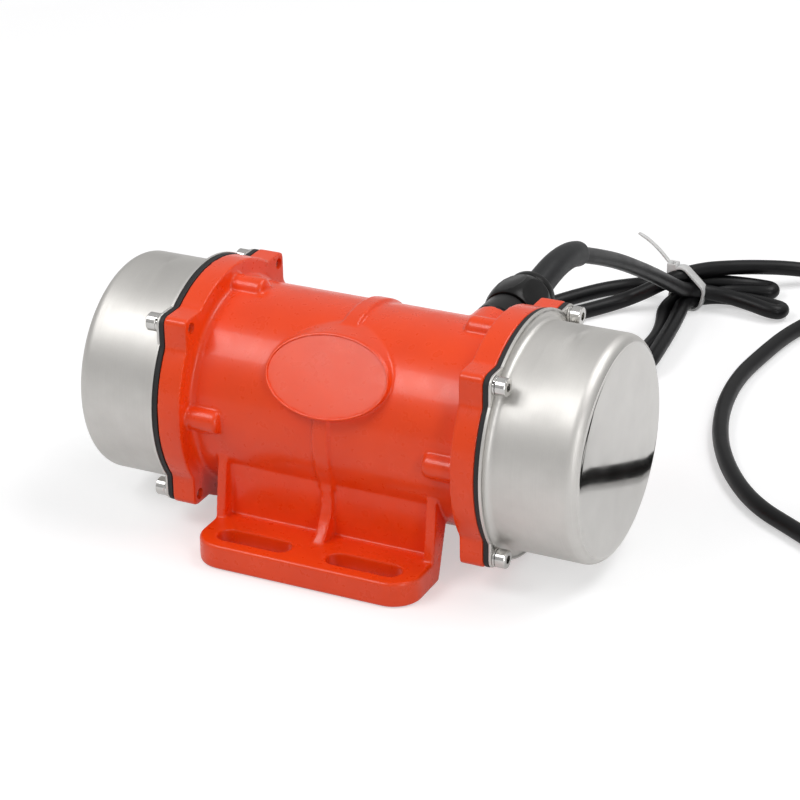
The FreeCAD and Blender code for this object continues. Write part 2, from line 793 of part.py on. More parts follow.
def ball_cage():
    """Cage that keeps the balls apart."""
    middle = bearing_inner_x + bearing_width / 2
    r_out, r_in = ball_pitch_r + cage_half_t, ball_pitch_r - cage_half_t
    ring = tube(middle - cage_half_width, middle + cage_half_width, r_out, r_in)
    pockets = [Part.makeSphere(ball_r + seat_gap * 4, place) for place in ball_places()]
    return ring.cut(Part.makeCompound(pockets))


def wave_washer():
    """Spring washer that preloads the left-hand bearing against its lip."""
    x0, x1 = bearing_inner_x - wave_washer_t + seat_gap, bearing_inner_x - seat_gap
    return tube(x0, x1, bearing_r - 0.3, bearing_lip_r + 1.2)


def bearing_circlip():
    """Circlip in the shield's groove that holds the outer ring."""
    x0 = bearing_outer_x + seat_gap
    x1 = bearing_outer_x + inner_circlip_t - seat_gap
    ring = tube(x0, x1, bearing_r + 0.9, bearing_r - 1.6)
    gap = block(x0 - 1, x1 + 1, -3.0, 3.0, axis_height - bearing_r - 2, axis_height - bearing_r + 4)
    ears = []
    for side in (-1, 1):
        ear = Part.makeCylinder(2.0, x1 - x0, at_axis(x0, side * 4.6, -bearing_r + 2.2), X_AXIS)
        eye = Part.makeCylinder(0.8, x1 - x0 + 2, at_axis(x0 - 1, side * 4.6, -bearing_r + 2.2), X_AXIS)
        ears.append((ear, eye))
    body = joined([ring.cut(gap)] + [ear for ear, eye in ears])
    return body.cut(Part.makeCompound([eye for ear, eye in ears]))


def spacer_sleeve():
    """Distance sleeve between the bearing and the fixed weight."""
    return tube(bearing_outer_x + seat_gap, spacer_out_x, spacer_r, shaft_end_r + seat_gap)


def half_disc(x0, x1):
    """Half disc below the shaft line."""
    disc = rod(x0, x1, weight_r)
    lower = block(x0 - 1, x1 + 1, -weight_r - 1, weight_r + 1, axis_height - weight_r - 1, axis_height)
    return disc.common(lower)


def fixed_weight():
    """Inner half-disc weight, keyed to the shaft."""
    body = joined([half_disc(spacer_out_x, weight_out_x), rod(spacer_out_x, weight_out_x, weight_hub_r)])
    bore = rod(spacer_out_x - 1, weight_out_x + 1, shaft_end_r + seat_gap)
    keyway = shaft_key_box(seat_gap)
    keyway = joined([keyway, moved(keyway, V(key_length, 0, 0)), moved(keyway, V(-key_length, 0, 0))])
    return body.cut(bore).cut(keyway)


def scale_disc():
    """Thin disc with plain notches from which the adjustable weight is set."""
    disc = tube(weight_out_x + seat_gap, disc_out_x, scale_disc_r, shaft_end_r + seat_gap)
    marks = []
    for step in range(scale_marks):
        mark = block(
            weight_out_x - 1, disc_out_x + 1, -scale_mark_w / 2, scale_mark_w / 2,
            axis_height + scale_disc_r - scale_mark_depth, axis_height + scale_disc_r + 1
        )
        marks.append(turned_about_shaft(mark, 180.0 * step / (scale_marks - 1)))
    return disc.cut(Part.makeCompound(marks))


def adjustable_weight():
    """Outer half-disc weight with a split clamp hub."""
    middle = (adjust_in_x + adjust_out_x) / 2
    ear_top = axis_height + clamp_ear_top
    ears = block(adjust_in_x, adjust_out_x, -clamp_ear_half, clamp_ear_half, axis_height, ear_top)
    upright = [e for e in ears.Edges if e.BoundBox.ZMin > ear_top - 0.01 and e.BoundBox.YLength < 0.01]
    ears = ears.makeFillet(clamp_ear_round, upright)
    body = joined([half_disc(adjust_in_x, adjust_out_x), rod(adjust_in_x, adjust_out_x, weight_hub_r), ears])
    bore = rod(adjust_in_x - 1, adjust_out_x + 1, shaft_end_r + running_gap)
    slit = block(
        adjust_in_x - 1, adjust_out_x + 1, -clamp_slit_w / 2, clamp_slit_w / 2, axis_height, ear_top + 1
    )
    hole_start = at_axis(middle, -clamp_ear_half - 1, clamp_bolt_z)
    hole = Part.makeCylinder(clamp_bolt_r + thread_gap, 2 * clamp_ear_half + 2, hole_start, Y_AXIS)
    return body.cut(Part.makeCompound([bore, slit, hole]))


def clamp_bolt():
    """Socket bolt across the clamp hub of the adjustable weight."""
    bolt = socket_screw(clamp_head_r, clamp_head_h, clamp_bolt_r, 2 * clamp_ear_half, 4.0, 2.5)
    bolt.rotate(V(0, 0, 0), Z_AXIS, -90)
    return moved(bolt, at_axis((adjust_in_x + adjust_out_x) / 2, -clamp_ear_half, clamp_bolt_z))


def shaft_circlip():
    """Open circlip at the shaft end."""
    x0 = circlip_in_x + seat_gap
    x1 = circlip_in_x + shaft_circlip_t - seat_gap
    ring = tube(x0, x1, shaft_circlip_r, shaft_end_r - shaft_circlip_depth + seat_gap)
    gap = block(x0 - 1, x1 + 1, -2.0, 2.0, axis_height, axis_height + shaft_circlip_r + 1)
    return ring.cut(gap)


def on_gland(y, r, length):
    """Round bar on the gland line, starting at y."""
    return Part.makeCylinder(r, length, V(gland_x, y, gland_z), Y_AXIS)


def gland_body():
    """Gland body: thread in the casting, collar outside and thread for the nut."""
    thread_in = gland_face_y - gland_thread_length
    collar_y = gland_face_y + gland_washer_t
    parts = [
        on_gland(thread_in, gland_thread_r - thread_gap, collar_y - thread_in),
        on_gland(collar_y, gland_ring_r, gland_ring_t),
        on_gland(nut_in_y, gland_nut_thread_r, gland_nut_thread_length),
    ]
    seat = on_gland(nut_in_y, seal_r + seat_gap, gland_nut_length)
    bore = on_gland(thread_in - 1, gland_bore_r, rim_out_y - thread_in)
    return joined(parts).cut(bore).cut(seat)


def gland_nut():
    """Domed hexagon nut of the gland with a round rim."""
    corner = gland_nut_af / math.sqrt(3)
    turns = [math.radians(a) for a in range(0, 361, 60)]
    points = [V(gland_x + corner * math.cos(t), nut_in_y, gland_z + corner * math.sin(t)) for t in turns]
    hexagon = Part.Face(Part.makePolygon(points)).extrude(Y_AXIS * gland_nut_length)
    dome_r = gland_nut_af / 2 + 0.9
    cone = Part.makeCone(dome_r + 1.2, dome_r - 1.2, gland_nut_length, V(gland_x, nut_in_y, gland_z), Y_AXIS)
    rim = on_gland(nut_out_y, gland_rim_r, gland_rim_t)
    lips = [e for e in rim.Edges if e.Length > gland_rim_r and e.BoundBox.YLength < 0.01]
    rim = rim.makeFillet(1.2, lips)
    inside = [
        on_gland(nut_in_y - 1, gland_nut_thread_r + thread_gap, 1 + gland_nut_thread_length),
        on_gland(nut_in_y, seal_r + thread_gap, gland_nut_length * 0.62),
        on_gland(nut_in_y, sleeve_root_r + thread_gap, gland_nut_length + gland_rim_t + 1),
    ]
    return joined([hexagon.common(cone), rim]).cut(Part.makeCompound(inside))


def gland_washer():
    """Flat seal between the gland collar and the casting."""
    ring = on_gland(gland_face_y, gland_ring_r - 0.3, gland_washer_t)
    return ring.cut(on_gland(gland_face_y - 1, gland_thread_r, gland_washer_t + 2))


def gland_seal():
    """Rubber sealing ring round the cable inside the nut."""
    ring = on_gland(nut_in_y + seat_gap, seal_r, seal_length)
    return ring.cut(on_gland(nut_in_y - 1, cable_r + seat_gap, seal_length + 2))


def cable_entry():
    """Cable from inside the casting through the gland to the root of the bend sleeve."""
    return on_gland(cable_entry_y, cable_r, rim_out_y - sleeve_in_nut - cable_entry_y - seat_gap)


def lead_wires():
    """Three insulated cores from the cable end to the winding's end turns."""
    wires = []
    for dx, dz in lead_wire_places:
        start = V(gland_x + dx, cable_entry_y - seat_gap, gland_z + dz)
        end = V(end_turn_x + seat_gap, lead_wire_end[0] + dx, axis_height + lead_wire_end[1] + dz)
        corners = [start, start - Y_AXIS * 2.0, end + X_AXIS * 3.0, end]
        spans = []
        for a, b in zip(corners, corners[1:]):
            spans.append(Part.makeCylinder(lead_wire_r, a.distanceToPoint(b), a, b - a))
        joints = [Part.makeSphere(lead_wire_r, corner) for corner in corners[1:3]]
        wires.append(joined(spans + joints))
    return Part.makeCompound(wires)


def circle_wire(centre, direction, r):
    """Closed circle square to a direction."""
    return Part.Wire(Part.Circle(centre, direction, r).toShape())


def from_rim(places, height):
    """Points of the cable from offsets out of the middle of the gland's rim and above a height."""
    return [V(gland_x + x, rim_out_y + y, height + z) for x, y, z in places]


def lead_points():
    """Centre line of the cable from the tip of the sleeve to the hank."""
    return from_rim(sleeve_route[-1:] + lead_high, gland_z) + from_rim(lead_low, 0)


def bend_sleeve():
    """Tapered bend sleeve that leaves the nut straight, arches and droops with the cable."""
    spine = from_rim(sleeve_route, gland_z)
    lead = lead_points()
    spans = [a.distanceToPoint(b) for a, b in zip(spine, spine[1:])]
    headings = [Y_AXIS]
    headings += [after - before for before, after in zip(spine, spine[2:])]
    headings.append(lead[1] - lead[0])
    rings = []
    for i, (point, heading) in enumerate(zip(spine, headings)):
        share = sum(spans[:i]) / sum(spans)
        rings.append(circle_wire(point, heading, sleeve_root_r + (sleeve_tip_r - sleeve_root_r) * share))
    sleeve = Part.makeLoft(rings, True, False)
    tip_y = spine[-1].y - sleeve_tip_r
    tip = [e for e in sleeve.Edges if e.BoundBox.YMin > tip_y and len(e.Vertexes) == 1]
    root = on_gland(rim_out_y - sleeve_in_nut, sleeve_root_r, sleeve_in_nut)
    return joined([sleeve.makeFillet(sleeve_tip_round, tip), root])


def swept_tube(name, points):
    """Cable tube along straight runs joined by tangent arcs; prints its bend radii."""
    edges, radii = [], []
    start = points[0]
    for before, here, after in zip(points, points[1:], points[2:]):
        arriving = (here - before).normalize()
        leaving = (after - here).normalize()
        trim = bend_share * min(before.distanceToPoint(here), here.distanceToPoint(after))
        half_turn = arriving.getAngle(leaving) / 2
        r = trim / math.tan(half_turn)
        first, last = here - arriving * trim, here + leaving * trim
        inward = (leaving - arriving).normalize()
        centre = here + inward * (r / math.cos(half_turn))
        middle = centre - inward * r
        edges.append(Part.LineSegment(start, first).toShape())
        edges.append(Part.Arc(first, middle, last).toShape())
        radii.append(round(r, 1))
        start = last
    edges.append(Part.LineSegment(start, points[-1]).toShape())
    path = Part.Wire(edges)
    solid = path.makePipeShell([circle_wire(points[0], points[1] - points[0], cable_r)], True, False)
    expected = math.pi * cable_r**2 * path.Length
    print(f"{name}: length {path.Length:.1f}, radii {radii}, volume {solid.Volume:.0f} of {expected:.0f}")
    return solid


def waist_frame():
    """Unit vectors along and across the hank's tied waist."""
    turn = math.radians(waist_heading_deg)
    return V(math.cos(turn), math.sin(turn), 0), V(-math.sin(turn), math.cos(turn), 0)


def waist_section(along, grow):
    """Rounded rectangular section of the waist, a distance along it, grown by a margin."""
    ahead, across = waist_frame()
    centre = V(waist_centre[0], waist_centre[1], 0) + ahead * along
    w, low, high = waist_half_width + grow, waist_bottom - grow, waist_top + grow
    r = waist_corner_r + grow
    k = r * (1 - math.sqrt(0.5))

    def at(v, z):
        return centre + across * v + Z_AXIS * z

    edges = [
        Part.LineSegment(at(-w + r, low), at(w - r, low)).toShape(),
        Part.Arc(at(w - r, low), at(w - k, low + k), at(w, low + r)).toShape(),
        Part.LineSegment(at(w, low + r), at(w, high - r)).toShape(),
        Part.Arc(at(w, high - r), at(w - k, high - k), at(w - r, high)).toShape(),
        Part.LineSegment(at(w - r, high), at(-w + r, high)).toShape(),
        Part.Arc(at(-w + r, high), at(-w + k, high - k), at(-w, high - r)).toShape(),
        Part.LineSegment(at(-w, high - r), at(-w, low + r)).toShape(),
        Part.Arc(at(-w, low + r), at(-w + k, low + k), at(-w + r, low)).toShape(),
    ]
    return Part.Face(Part.Wire(edges))


def hank_arm(along, across, end, end_r, height):
    """One arm of the hank: a slab that widens from the waist to its rounded fold."""
    ahead, sideways = waist_frame()
    root = V(waist_centre[0], waist_centre[1], 0) + ahead * along + sideways * across
    tip = V(gland_x + end[0], rim_out_y + end[1], 0)
    reach = root.distanceToPoint(tip)
    direction = (tip - root).normalize()
    normal = V(-direction.y, direction.x, 0)
    lean = math.asin((end_r - hank_root_r) / reach)

    def edge(centre, r, sign):
        return centre - direction * (r * math.sin(lean)) + normal * (sign * r * math.cos(lean))

    first = edge(root, hank_root_r, -1)
    edges = [
        Part.LineSegment(first, edge(tip, end_r, -1)).toShape(),
        Part.Arc(edge(tip, end_r, -1), tip + direction * end_r, edge(tip, end_r, 1)).toShape(),
        Part.LineSegment(edge(tip, end_r, 1), edge(root, hank_root_r, 1)).toShape(),
        Part.Arc(edge(root, hank_root_r, 1), root - direction * hank_root_r, first).toShape(),
    ]
    slab = Part.Face(Part.Wire(edges)).extrude(Z_AXIS * height)
    return slab.makeFillet(hank_edge_r, [e for e in slab.Edges if e.BoundBox.ZMin > height - 0.01])


def cable_hank():
    """Outer shape of the tied hank as one closed solid."""
    ahead, across = waist_frame()
    waist = waist_section(-waist_half_length, 0).extrude(ahead * (2 * waist_half_length))
    arms = [hank_arm(**arm) for arm in hank_arms.values()]
    clear = waist_section(-tie_width / 2 - 0.6, 12).extrude(ahead * (tie_width + 1.2))
    keep = waist_section(-tie_width / 2 - 0.7, 0).extrude(ahead * (tie_width + 1.4))
    arms = [arm.cut(clear.cut(keep)) for arm in arms]
    return joined([waist] + arms)


def hank_tie():
    """Cable tie round the waist: strap, square head and a loose tail."""
    ahead, across = waist_frame()
    start = -tie_width / 2
    strap = waist_section(start, tie_gap + tie_t).extrude(ahead * tie_width)
    strap = strap.cut(waist_section(start - 1, tie_gap).extrude(ahead * (tie_width + 2)))
    top = V(waist_centre[0], waist_centre[1], waist_top + tie_gap)
    head = Part.makeBox(tie_head * 0.8, tie_head, tie_head * 0.7)
    head.rotate(V(0, 0, 0), Z_AXIS, waist_heading_deg)
    head.translate(top - ahead * (tie_head * 0.4))
    reach = V(*tie_tail)
    tail = Part.makeBox(reach.Length, tie_width * 0.7, 0.9, V(0, -tie_width * 0.35, 0))
    foot_point = top + across * (tie_head / 2) + Z_AXIS
    tail.Placement = FreeCAD.Placement(foot_point, FreeCAD.Rotation(X_AXIS, reach))
    return joined([strap, head, tail])


def cable_coil():
    """Outer shape of the coiled spare length as one closed ring."""
    half_w = coil_rows * cable_d / 2
    height = coil_layers * cable_d
    centre = V(coil_centre[0], coil_centre[1], 0)
    ring = Part.makeCylinder(coil_mid_r + half_w, height, centre)
    ring = ring.cut(Part.makeCylinder(coil_mid_r - half_w, height, centre))
    return ring.makeFillet(coil_edge_r, [e for e in ring.Edges if e.BoundBox.ZMin > height - 0.01])


def coil_tie():
    """Cable tie across the coil's ring."""
    half_w = coil_rows * cable_d / 2
    height = coil_layers * cable_d
    turn = math.radians(coil_tie_deg)
    outward = V(math.cos(turn), math.sin(turn), 0)
    along = V(-math.sin(turn), math.cos(turn), 0)
    middle = V(coil_centre[0], coil_centre[1], 0) + outward * coil_mid_r
    strap = Part.makeBox(2 * (half_w + tie_gap * 3 + tie_t), tie_width, height + tie_gap + tie_t)
    hollow = Part.makeBox(2 * (half_w + tie_gap * 3), tie_width + 2, height + tie_gap + 1)
    hollow.translate(V(tie_t, -1, -1))
    strap = strap.cut(hollow)
    head = Part.makeBox(tie_head, tie_width + 1, tie_head * 0.6)
    head.translate(V(half_w, -0.5, height + tie_gap + tie_t - 0.1))
    body = joined([strap, head])
    body.rotate(V(0, 0, 0), Z_AXIS, coil_tie_deg)
    shift = middle - outward * (half_w + tie_gap * 3 + tie_t) - along * (tie_width / 2)
    return moved(body, shift)


def tail_frame():
    """Start, heading and side direction of the straight stretch from the coil to the plug."""
    turn = math.radians(coil_exit_deg)
    outer_turn = coil_mid_r + (coil_rows - 1) * cable_d / 2
    top = (coil_layers - 0.5) * cable_d
    start = V(coil_centre[0] + outer_turn * math.cos(turn), coil_centre[1] + outer_turn * math.sin(turn), top)
    return start, V(-math.sin(turn), math.cos(turn), 0), V(math.cos(turn), math.sin(turn), 0)


def cable_tail():
    """Straight stretch of cable from the coil to the plug."""
    start, heading, side = tail_frame()
    return Part.makeCylinder(cable_r, tail_length, start, heading)


def rounded_rectangle(centre, side, half_w, half_h, r):
    """Closed rounded rectangle square to the tail's heading."""
    k = r * (1 - math.sqrt(0.5))

    def at(v, z):
        return centre + side * v + Z_AXIS * z

    edges = []
    for sv, sz in ((1, -1), (1, 1), (-1, 1), (-1, -1)):
        v, z = sv * half_w, sz * half_h
        a, b = at(v, z - sz * r), at(v - sv * r, z)
        if sv * sz < 0:
            a, b = b, a
        edges.append(Part.Arc(a, at(v - sv * k, z - sz * k), b).toShape())
    wires = []
    for here, after in zip(edges, edges[1:] + edges[:1]):
        wires += [here, Part.LineSegment(here.Vertexes[-1].Point, after.Vertexes[0].Point).toShape()]
    return Part.Wire(wires)


def plug_body():
    """Moulded plug: tapered strain relief, neck and rounded body."""
    start, heading, side = tail_frame()
    base = start + heading * tail_length
    relief = Part.makeCone(cable_r + 0.6, plug_relief_root_r, plug_relief_length, base, heading)
    neck = base + heading * plug_relief_length
    half_w, half_h = plug_body_width / 2, plug_body_height / 2
    middle = neck + heading * plug_body_length * 0.35
    sections = [
        rounded_rectangle(neck - heading * 0.5, side, plug_neck_r, plug_neck_r * 0.9, plug_corner_r * 0.8),
        rounded_rectangle(middle, side, half_w * 0.86, half_h * 0.94, plug_corner_r),
        rounded_rectangle(neck + heading * plug_body_length, side, half_w, half_h, plug_corner_r),
    ]
    return joined([Part.makeLoft(sections, True, True), relief])


def plug_pins():
    """Two round plug pins."""
    start, heading, side = tail_frame()
    face = start + heading * (tail_length + plug_relief_length + plug_body_length)
    pins = []
    for sign in (-1, 1):
        foot_point = face + side * (sign * plug_pin_pitch / 2)
        pin = Part.makeCylinder(plug_pin_r, plug_pin_length - plug_pin_r, foot_point, heading)
        tip = Part.makeSphere(plug_pin_r, foot_point + heading * (plug_pin_length - plug_pin_r))
        pins.append(joined([pin, tip]))
    return Part.makeCompound(pins)


def build():
    """All nodes by name."""
    nodes = {
        "housing": housing(),
        "stator_core": stator_core(),
        "stator_winding": stator_winding(),
        "lead_wires": lead_wires(),
        "shield_screws": shield_screws(),
        "rotor_shaft": rotor_shaft(),
        "rotor_core": rotor_core(),
        "rotor_cage": rotor_cage(),
        "weight_keys": both_ends([shaft_key_box(0)]),
        "cover_screws": cover_screws(),
        "spring_washers": spring_washers(),
        "gland_body": gland_body(),
        "gland_nut": gland_nut(),
        "gland_washer": gland_washer(),
        "gland_seal": gland_seal(),
        "cable_entry": cable_entry(),
        "bend_sleeve": bend_sleeve(),
        "cable_lead": swept_tube("cable_lead", lead_points()),
        "cable_hank": cable_hank(),
        "hank_tie": hank_tie(),
        "cable_run": swept_tube("cable_run", from_rim(run_low, 0)),
        "cable_coil": cable_coil(),
        "coil_tie": coil_tie(),
        "cable_tail": cable_tail(),
        "plug_body": plug_body(),
        "plug_pins": plug_pins(),
        "wave_washer": mirrored_x(wave_washer()),
        "end_shield_right": end_shield(bearing_inner_x),
        "end_shield_left": mirrored_x(end_shield(bearing_inner_x - wave_washer_t)),
    }
    pairs = {
        "bearing_outer_ring": bearing_outer_ring,
        "bearing_inner_ring": bearing_inner_ring,
        "bearing_balls": bearing_balls,
        "ball_cage": ball_cage,
        "bearing_circlip": bearing_circlip,
        "spacer_sleeve": spacer_sleeve,
        "fixed_weight": fixed_weight,
        "scale_disc": scale_disc,
        "adjustable_weight": adjustable_weight,
        "clamp_bolt": clamp_bolt,
        "shaft_circlip": shaft_circlip,
        "cover_gasket": gasket,
        "end_cover": cover,
    }
    for name, make in pairs.items():
        right = make()
        nodes[name + "_right"] = right
        nodes[name + "_left"] = mirrored_x(right)
    return nodes


os.makedirs("parts", exist_ok=True)
for node, shape in build().items():
    shape.exportStep(f"parts/{node}.step")
    print(f"{node}: {len(shape.Solids)} solids, volume {shape.Volume:.0f}, valid {shape.isValid()}")
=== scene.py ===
"""Looks of a foot-mounted vibration motor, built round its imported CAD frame.

Sizes are in millimetres in the frame of the part: X along the shaft, Z up from the mounting plane.
They become metres where a mesh is made. Each sub-assembly is a class, and so is each finish.
"""
import json
import logging
import math
from collections.abc import Callable, Sequence
from dataclasses import dataclass
from enum import Enum

import bmesh
import bpy
from mathutils import Matrix, Vector


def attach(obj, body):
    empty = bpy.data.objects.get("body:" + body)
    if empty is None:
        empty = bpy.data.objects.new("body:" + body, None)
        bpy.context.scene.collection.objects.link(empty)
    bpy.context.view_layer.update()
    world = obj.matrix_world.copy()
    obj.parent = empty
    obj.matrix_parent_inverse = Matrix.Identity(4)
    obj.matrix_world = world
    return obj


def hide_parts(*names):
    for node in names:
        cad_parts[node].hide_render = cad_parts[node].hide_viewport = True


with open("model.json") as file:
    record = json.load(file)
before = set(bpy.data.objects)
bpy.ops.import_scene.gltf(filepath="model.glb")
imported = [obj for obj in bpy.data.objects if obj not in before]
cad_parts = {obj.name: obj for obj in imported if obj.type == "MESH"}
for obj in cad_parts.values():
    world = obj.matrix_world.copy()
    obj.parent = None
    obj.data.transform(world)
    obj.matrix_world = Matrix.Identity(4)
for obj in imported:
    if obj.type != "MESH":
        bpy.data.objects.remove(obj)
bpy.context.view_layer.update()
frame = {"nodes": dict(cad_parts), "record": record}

Piece = bpy.types.Object
Socket = bpy.types.NodeSocket
Pair = tuple[float, float]
Triple = tuple[float, float, float]

LOG = logging.getLogger("vibration_motor")
MM = 0.001
FULL_TURN = 2 * math.pi
X_AXIS = Vector((1, 0, 0))
Y_AXIS = Vector((0, 1, 0))
Z_AXIS = Vector((0, 0, 1))
SHAFT = Vector((0, 0, 49.0))
FRAME_BODY = "motor_frame"
WHITE = (1.0, 1.0, 1.0, 1.0)
SEAM = 1e-6
SLIVER = 1e-7


class Side(Enum):
    """End of the shaft, named as in the CAD nodes."""

    RIGHT = "right"
    LEFT = "left"


class Join(Enum):
    """What a boolean does with its tool."""

    ADD = "UNION"
    CUT = "DIFFERENCE"
    KEEP = "INTERSECT"


# Modelling


def clear_selection() -> None:
    """Leave edit mode and select nothing."""
    if bpy.context.mode != "OBJECT":
        bpy.ops.object.mode_set(mode="OBJECT")
    bpy.ops.object.select_all(action="DESELECT")


def activate(piece: Piece) -> None:
    """Select one piece alone and make it active.

    Args:
        piece: The piece.
    """
    clear_selection()
    piece.hide_set(False)
    piece.select_set(True)
    bpy.context.view_layer.objects.active = piece


def placed(name: str, data: bpy.types.ID) -> Piece:
    """New object, linked into the scene.

    Args:
        name: Name of the object.
        data: Its mesh, curve, lamp or camera.

    Returns:
        The object.
    """
    piece = bpy.data.objects.new(name, data)
    bpy.context.scene.collection.objects.link(piece)
    return piece


def outline(name: str, points: list[Vector], filled: bool = True) -> Piece:
    """Flat or bent closed outline whose corners are set one by one.

    Args:
        name: Name of the piece.
        points: Corners in millimetres, in order.
        filled: True for a face, False for its edge alone.

    Returns:
        The new mesh object.
    """
    clear_selection()
    fill = "NGON" if filled else "NOTHING"
    bpy.ops.mesh.primitive_circle_add(vertices=len(points), radius=1.0, fill_type=fill)
    piece = bpy.context.object
    piece.name = name
    for vertex, point in zip(piece.data.vertices, points):
        vertex.co = point * MM
    piece.data.update()
    return piece


def edited(piece: Piece, work: Callable[[], object]) -> Piece:
    """Work on the whole of a piece in edit mode, then turn its faces outwards.

    Args:
        piece: The piece.
        work: The step that is done with all of it selected.

    Returns:
        The same piece.
    """
    activate(piece)
    bpy.ops.object.mode_set(mode="EDIT")
    bpy.ops.mesh.select_all(action="SELECT")
    work()
    bpy.ops.mesh.select_all(action="SELECT")
    bpy.ops.mesh.normals_make_consistent(inside=False)
    bpy.ops.object.mode_set(mode="OBJECT")
    return piece


def extruded(name: str, points: list[Vector], push: Vector, filled: bool = True) -> Piece:
    """Prism from an outline.

    Args:
        name: Name of the piece.
        points: Corners in millimetres, in order.
        push: How far and which way the outline is drawn out.
        filled: True for a closed prism, False for its walls alone.

    Returns:
        The prism, its faces outwards.
    """
    step = {"value": push * MM}
    piece = outline(name, points, filled)
    return edited(piece, lambda: bpy.ops.mesh.extrude_region_move(TRANSFORM_OT_translate=step))


def side_of(axis: Vector) -> Vector:
    """Unit vector square to an axis."""
    return Z_AXIS.copy() if abs(axis.z) < 0.9 else X_AXIS.copy()


def spun(name: str, profile: list[Pair], origin: Vector, axis: Vector, steps: int = 128) -> Piece:
    """Solid of revolution from a closed profile.

    Args:
        name: Name of the piece.
        profile: Corners as distance along the axis and radius, in millimetres.
        origin: Point on the axis from which the distances run.
        axis: Unit direction of the axis.
        steps: Facets round the axis.

    Returns:
        The closed solid, its faces outwards.
    """
    side = side_of(axis)
    corners = [origin + axis * along + side * radius for along, radius in profile]

    def turn() -> None:
        """Spin the section, then close its seam and its poles."""
        bpy.ops.mesh.spin(steps=steps, angle=FULL_TURN, center=origin * MM, axis=axis, dupli=False)
        bpy.ops.mesh.select_all(action="SELECT")
        bpy.ops.mesh.remove_doubles(threshold=SEAM)
        bpy.ops.mesh.dissolve_degenerate(threshold=SLIVER)

    return edited(outline(name, corners, False), turn)


def rod(name: str, start: Vector, end: Vector, radius: float, sides: int = 96) -> Piece:
    """Round bar between two points, its place in its mesh.

    Args:
        name: Name of the piece.
        start: Centre of one end, in millimetres.
        end: Centre of the other end.
        radius: Radius in millimetres.
        sides: Facets round it.

    Returns:
        The new mesh object.
    """
    clear_selection()
    span = end - start
    bpy.ops.mesh.primitive_cylinder_add(
        vertices=sides,
        radius=radius * MM,
        depth=span.length * MM,
        location=(start + end) / 2 * MM,
        rotation=span.to_track_quat("Z", "Y").to_euler(),
    )
    bpy.ops.object.transform_apply(location=True, rotation=True, scale=True)
    piece = bpy.context.object
    piece.name = name
    return piece


def applied(piece: Piece, kind: str, **settings: object) -> Piece:
    """Add one modifier with its settings and apply it.

    Args:
        piece: The piece to shape.
        kind: Blender's name of the modifier type.
        settings: Its values.

    Returns:
        The same piece.
    """
    activate(piece)
    modifier = piece.modifiers.new(kind.title(), kind)
    for key, value in settings.items():
        setattr(modifier, key, value)
    bpy.ops.object.modifier_apply(modifier=modifier.name)
    return piece


def combined(target: Piece, tools: list[Piece], how: Join) -> Piece:
    """Boolean of a piece with tools that are used up.

    Args:
        target: The piece that is kept.
        tools: Closed meshes that work on it.
        how: Whether they add, cut or limit.

    Returns:
        The target.
    """
    for tool in tools:
        applied(target, "BOOLEAN", operation=how.value, object=tool, solver="EXACT")
        bpy.data.objects.remove(tool, do_unlink=True)
    return target


def grouped(name: str, parts: list[Piece]) -> Piece:
    """One object from several, their shells left as they are.

    Args:
        name: Name of the object.
        parts: The pieces that are used up, the first of which lives on.

    Returns:
        The object.
    """
    activate(parts[0])
    for part in parts:
        part.select_set(True)
    bpy.ops.object.join()
    piece = bpy.context.object
    piece.name = name
    return piece


def rounded(piece: Piece, width: float, segments: int = 3, degrees: float = 40.0) -> Piece:
    """Round the edges that turn by more than an angle.

    Args:
        piece: The piece.
        width: Width of the bevel in millimetres.
        segments: Facets across it.
        degrees: Smallest turn that is rounded.

    Returns:
        The same piece.
    """
    return applied(
        piece,
        "BEVEL",
        width=width * MM,
        segments=segments,
        limit_method="ANGLE",
        angle_limit=math.radians(degrees),
    )


def smooth(piece: Piece, degrees: float = 35.0) -> Piece:
    """Smooth shading with creases.

    Args:
        piece: The piece.
        degrees: Smallest turn between faces that stays sharp.

    Returns:
        The same piece.
    """
    activate(piece)
    bpy.ops.object.shade_smooth_by_angle(angle=math.radians(degrees))
    return piece


def copied(piece: Piece, name: str, change: Matrix) -> Piece:
    """Copy with a mesh of its own, moved, turned or mirrored in that mesh.

    Args:
        piece: The piece that is copied.
        name: Name of the copy.
        change: What is done to its mesh, lengths in metres.

    Returns:
        The copy, its faces outwards.
    """
    twin = piece.copy()
    twin.data = piece.data.copy()
    twin.name = name
    bpy.context.scene.collection.objects.link(twin)
    twin.data.transform(change)
    if change.determinant() < 0:
        twin.data.flip_normals()
    return twin


def mirrored(piece: Piece, name: str) -> Piece:
    """Copy at the left-hand end."""
    return copied(piece, name, Matrix.Scale(-1, 4, X_AXIS))


def moved(vector: Vector) -> Matrix:
    """Matrix of a move given in millimetres."""
    return Matrix.Translation(vector * MM)


def about_shaft(degrees: float) -> Matrix:
    """Matrix of a turn about the shaft."""
    turn = Matrix.Rotation(math.radians(degrees), 4, "X")
    return moved(SHAFT) @ turn @ moved(-SHAFT)


def quarter(steps: int, first: int = 0) -> list[Pair]:
    """Cosine and sine at even steps of a quarter turn.

    Args:
        steps: Steps in the whole quarter.
        first: Step to begin with.

    Returns:
        The pairs, the full quarter among them.
    """
    angles = [math.radians(90.0 / steps * step) for step in range(first, steps + 1)]
    return [(math.cos(angle), math.sin(angle)) for angle in angles]


def heading(degrees: float) -> tuple[Vector, Vector]:
    """Level unit vector at an angle from X, and the one a quarter turn on.

    Args:
        degrees: The angle.

    Returns:
        The two unit vectors.
    """
    angle = math.radians(degrees)
    cosine, sine = math.cos(angle), math.sin(angle)
    return Vector((cosine, sine, 0)), Vector((-sine, cosine, 0))


def four_corners(half: float) -> list[Pair]:
    """Corners of a square about the origin, by half its side."""
    return [(y * half, z * half) for y in (-1, 1) for z in (-1, 1)]


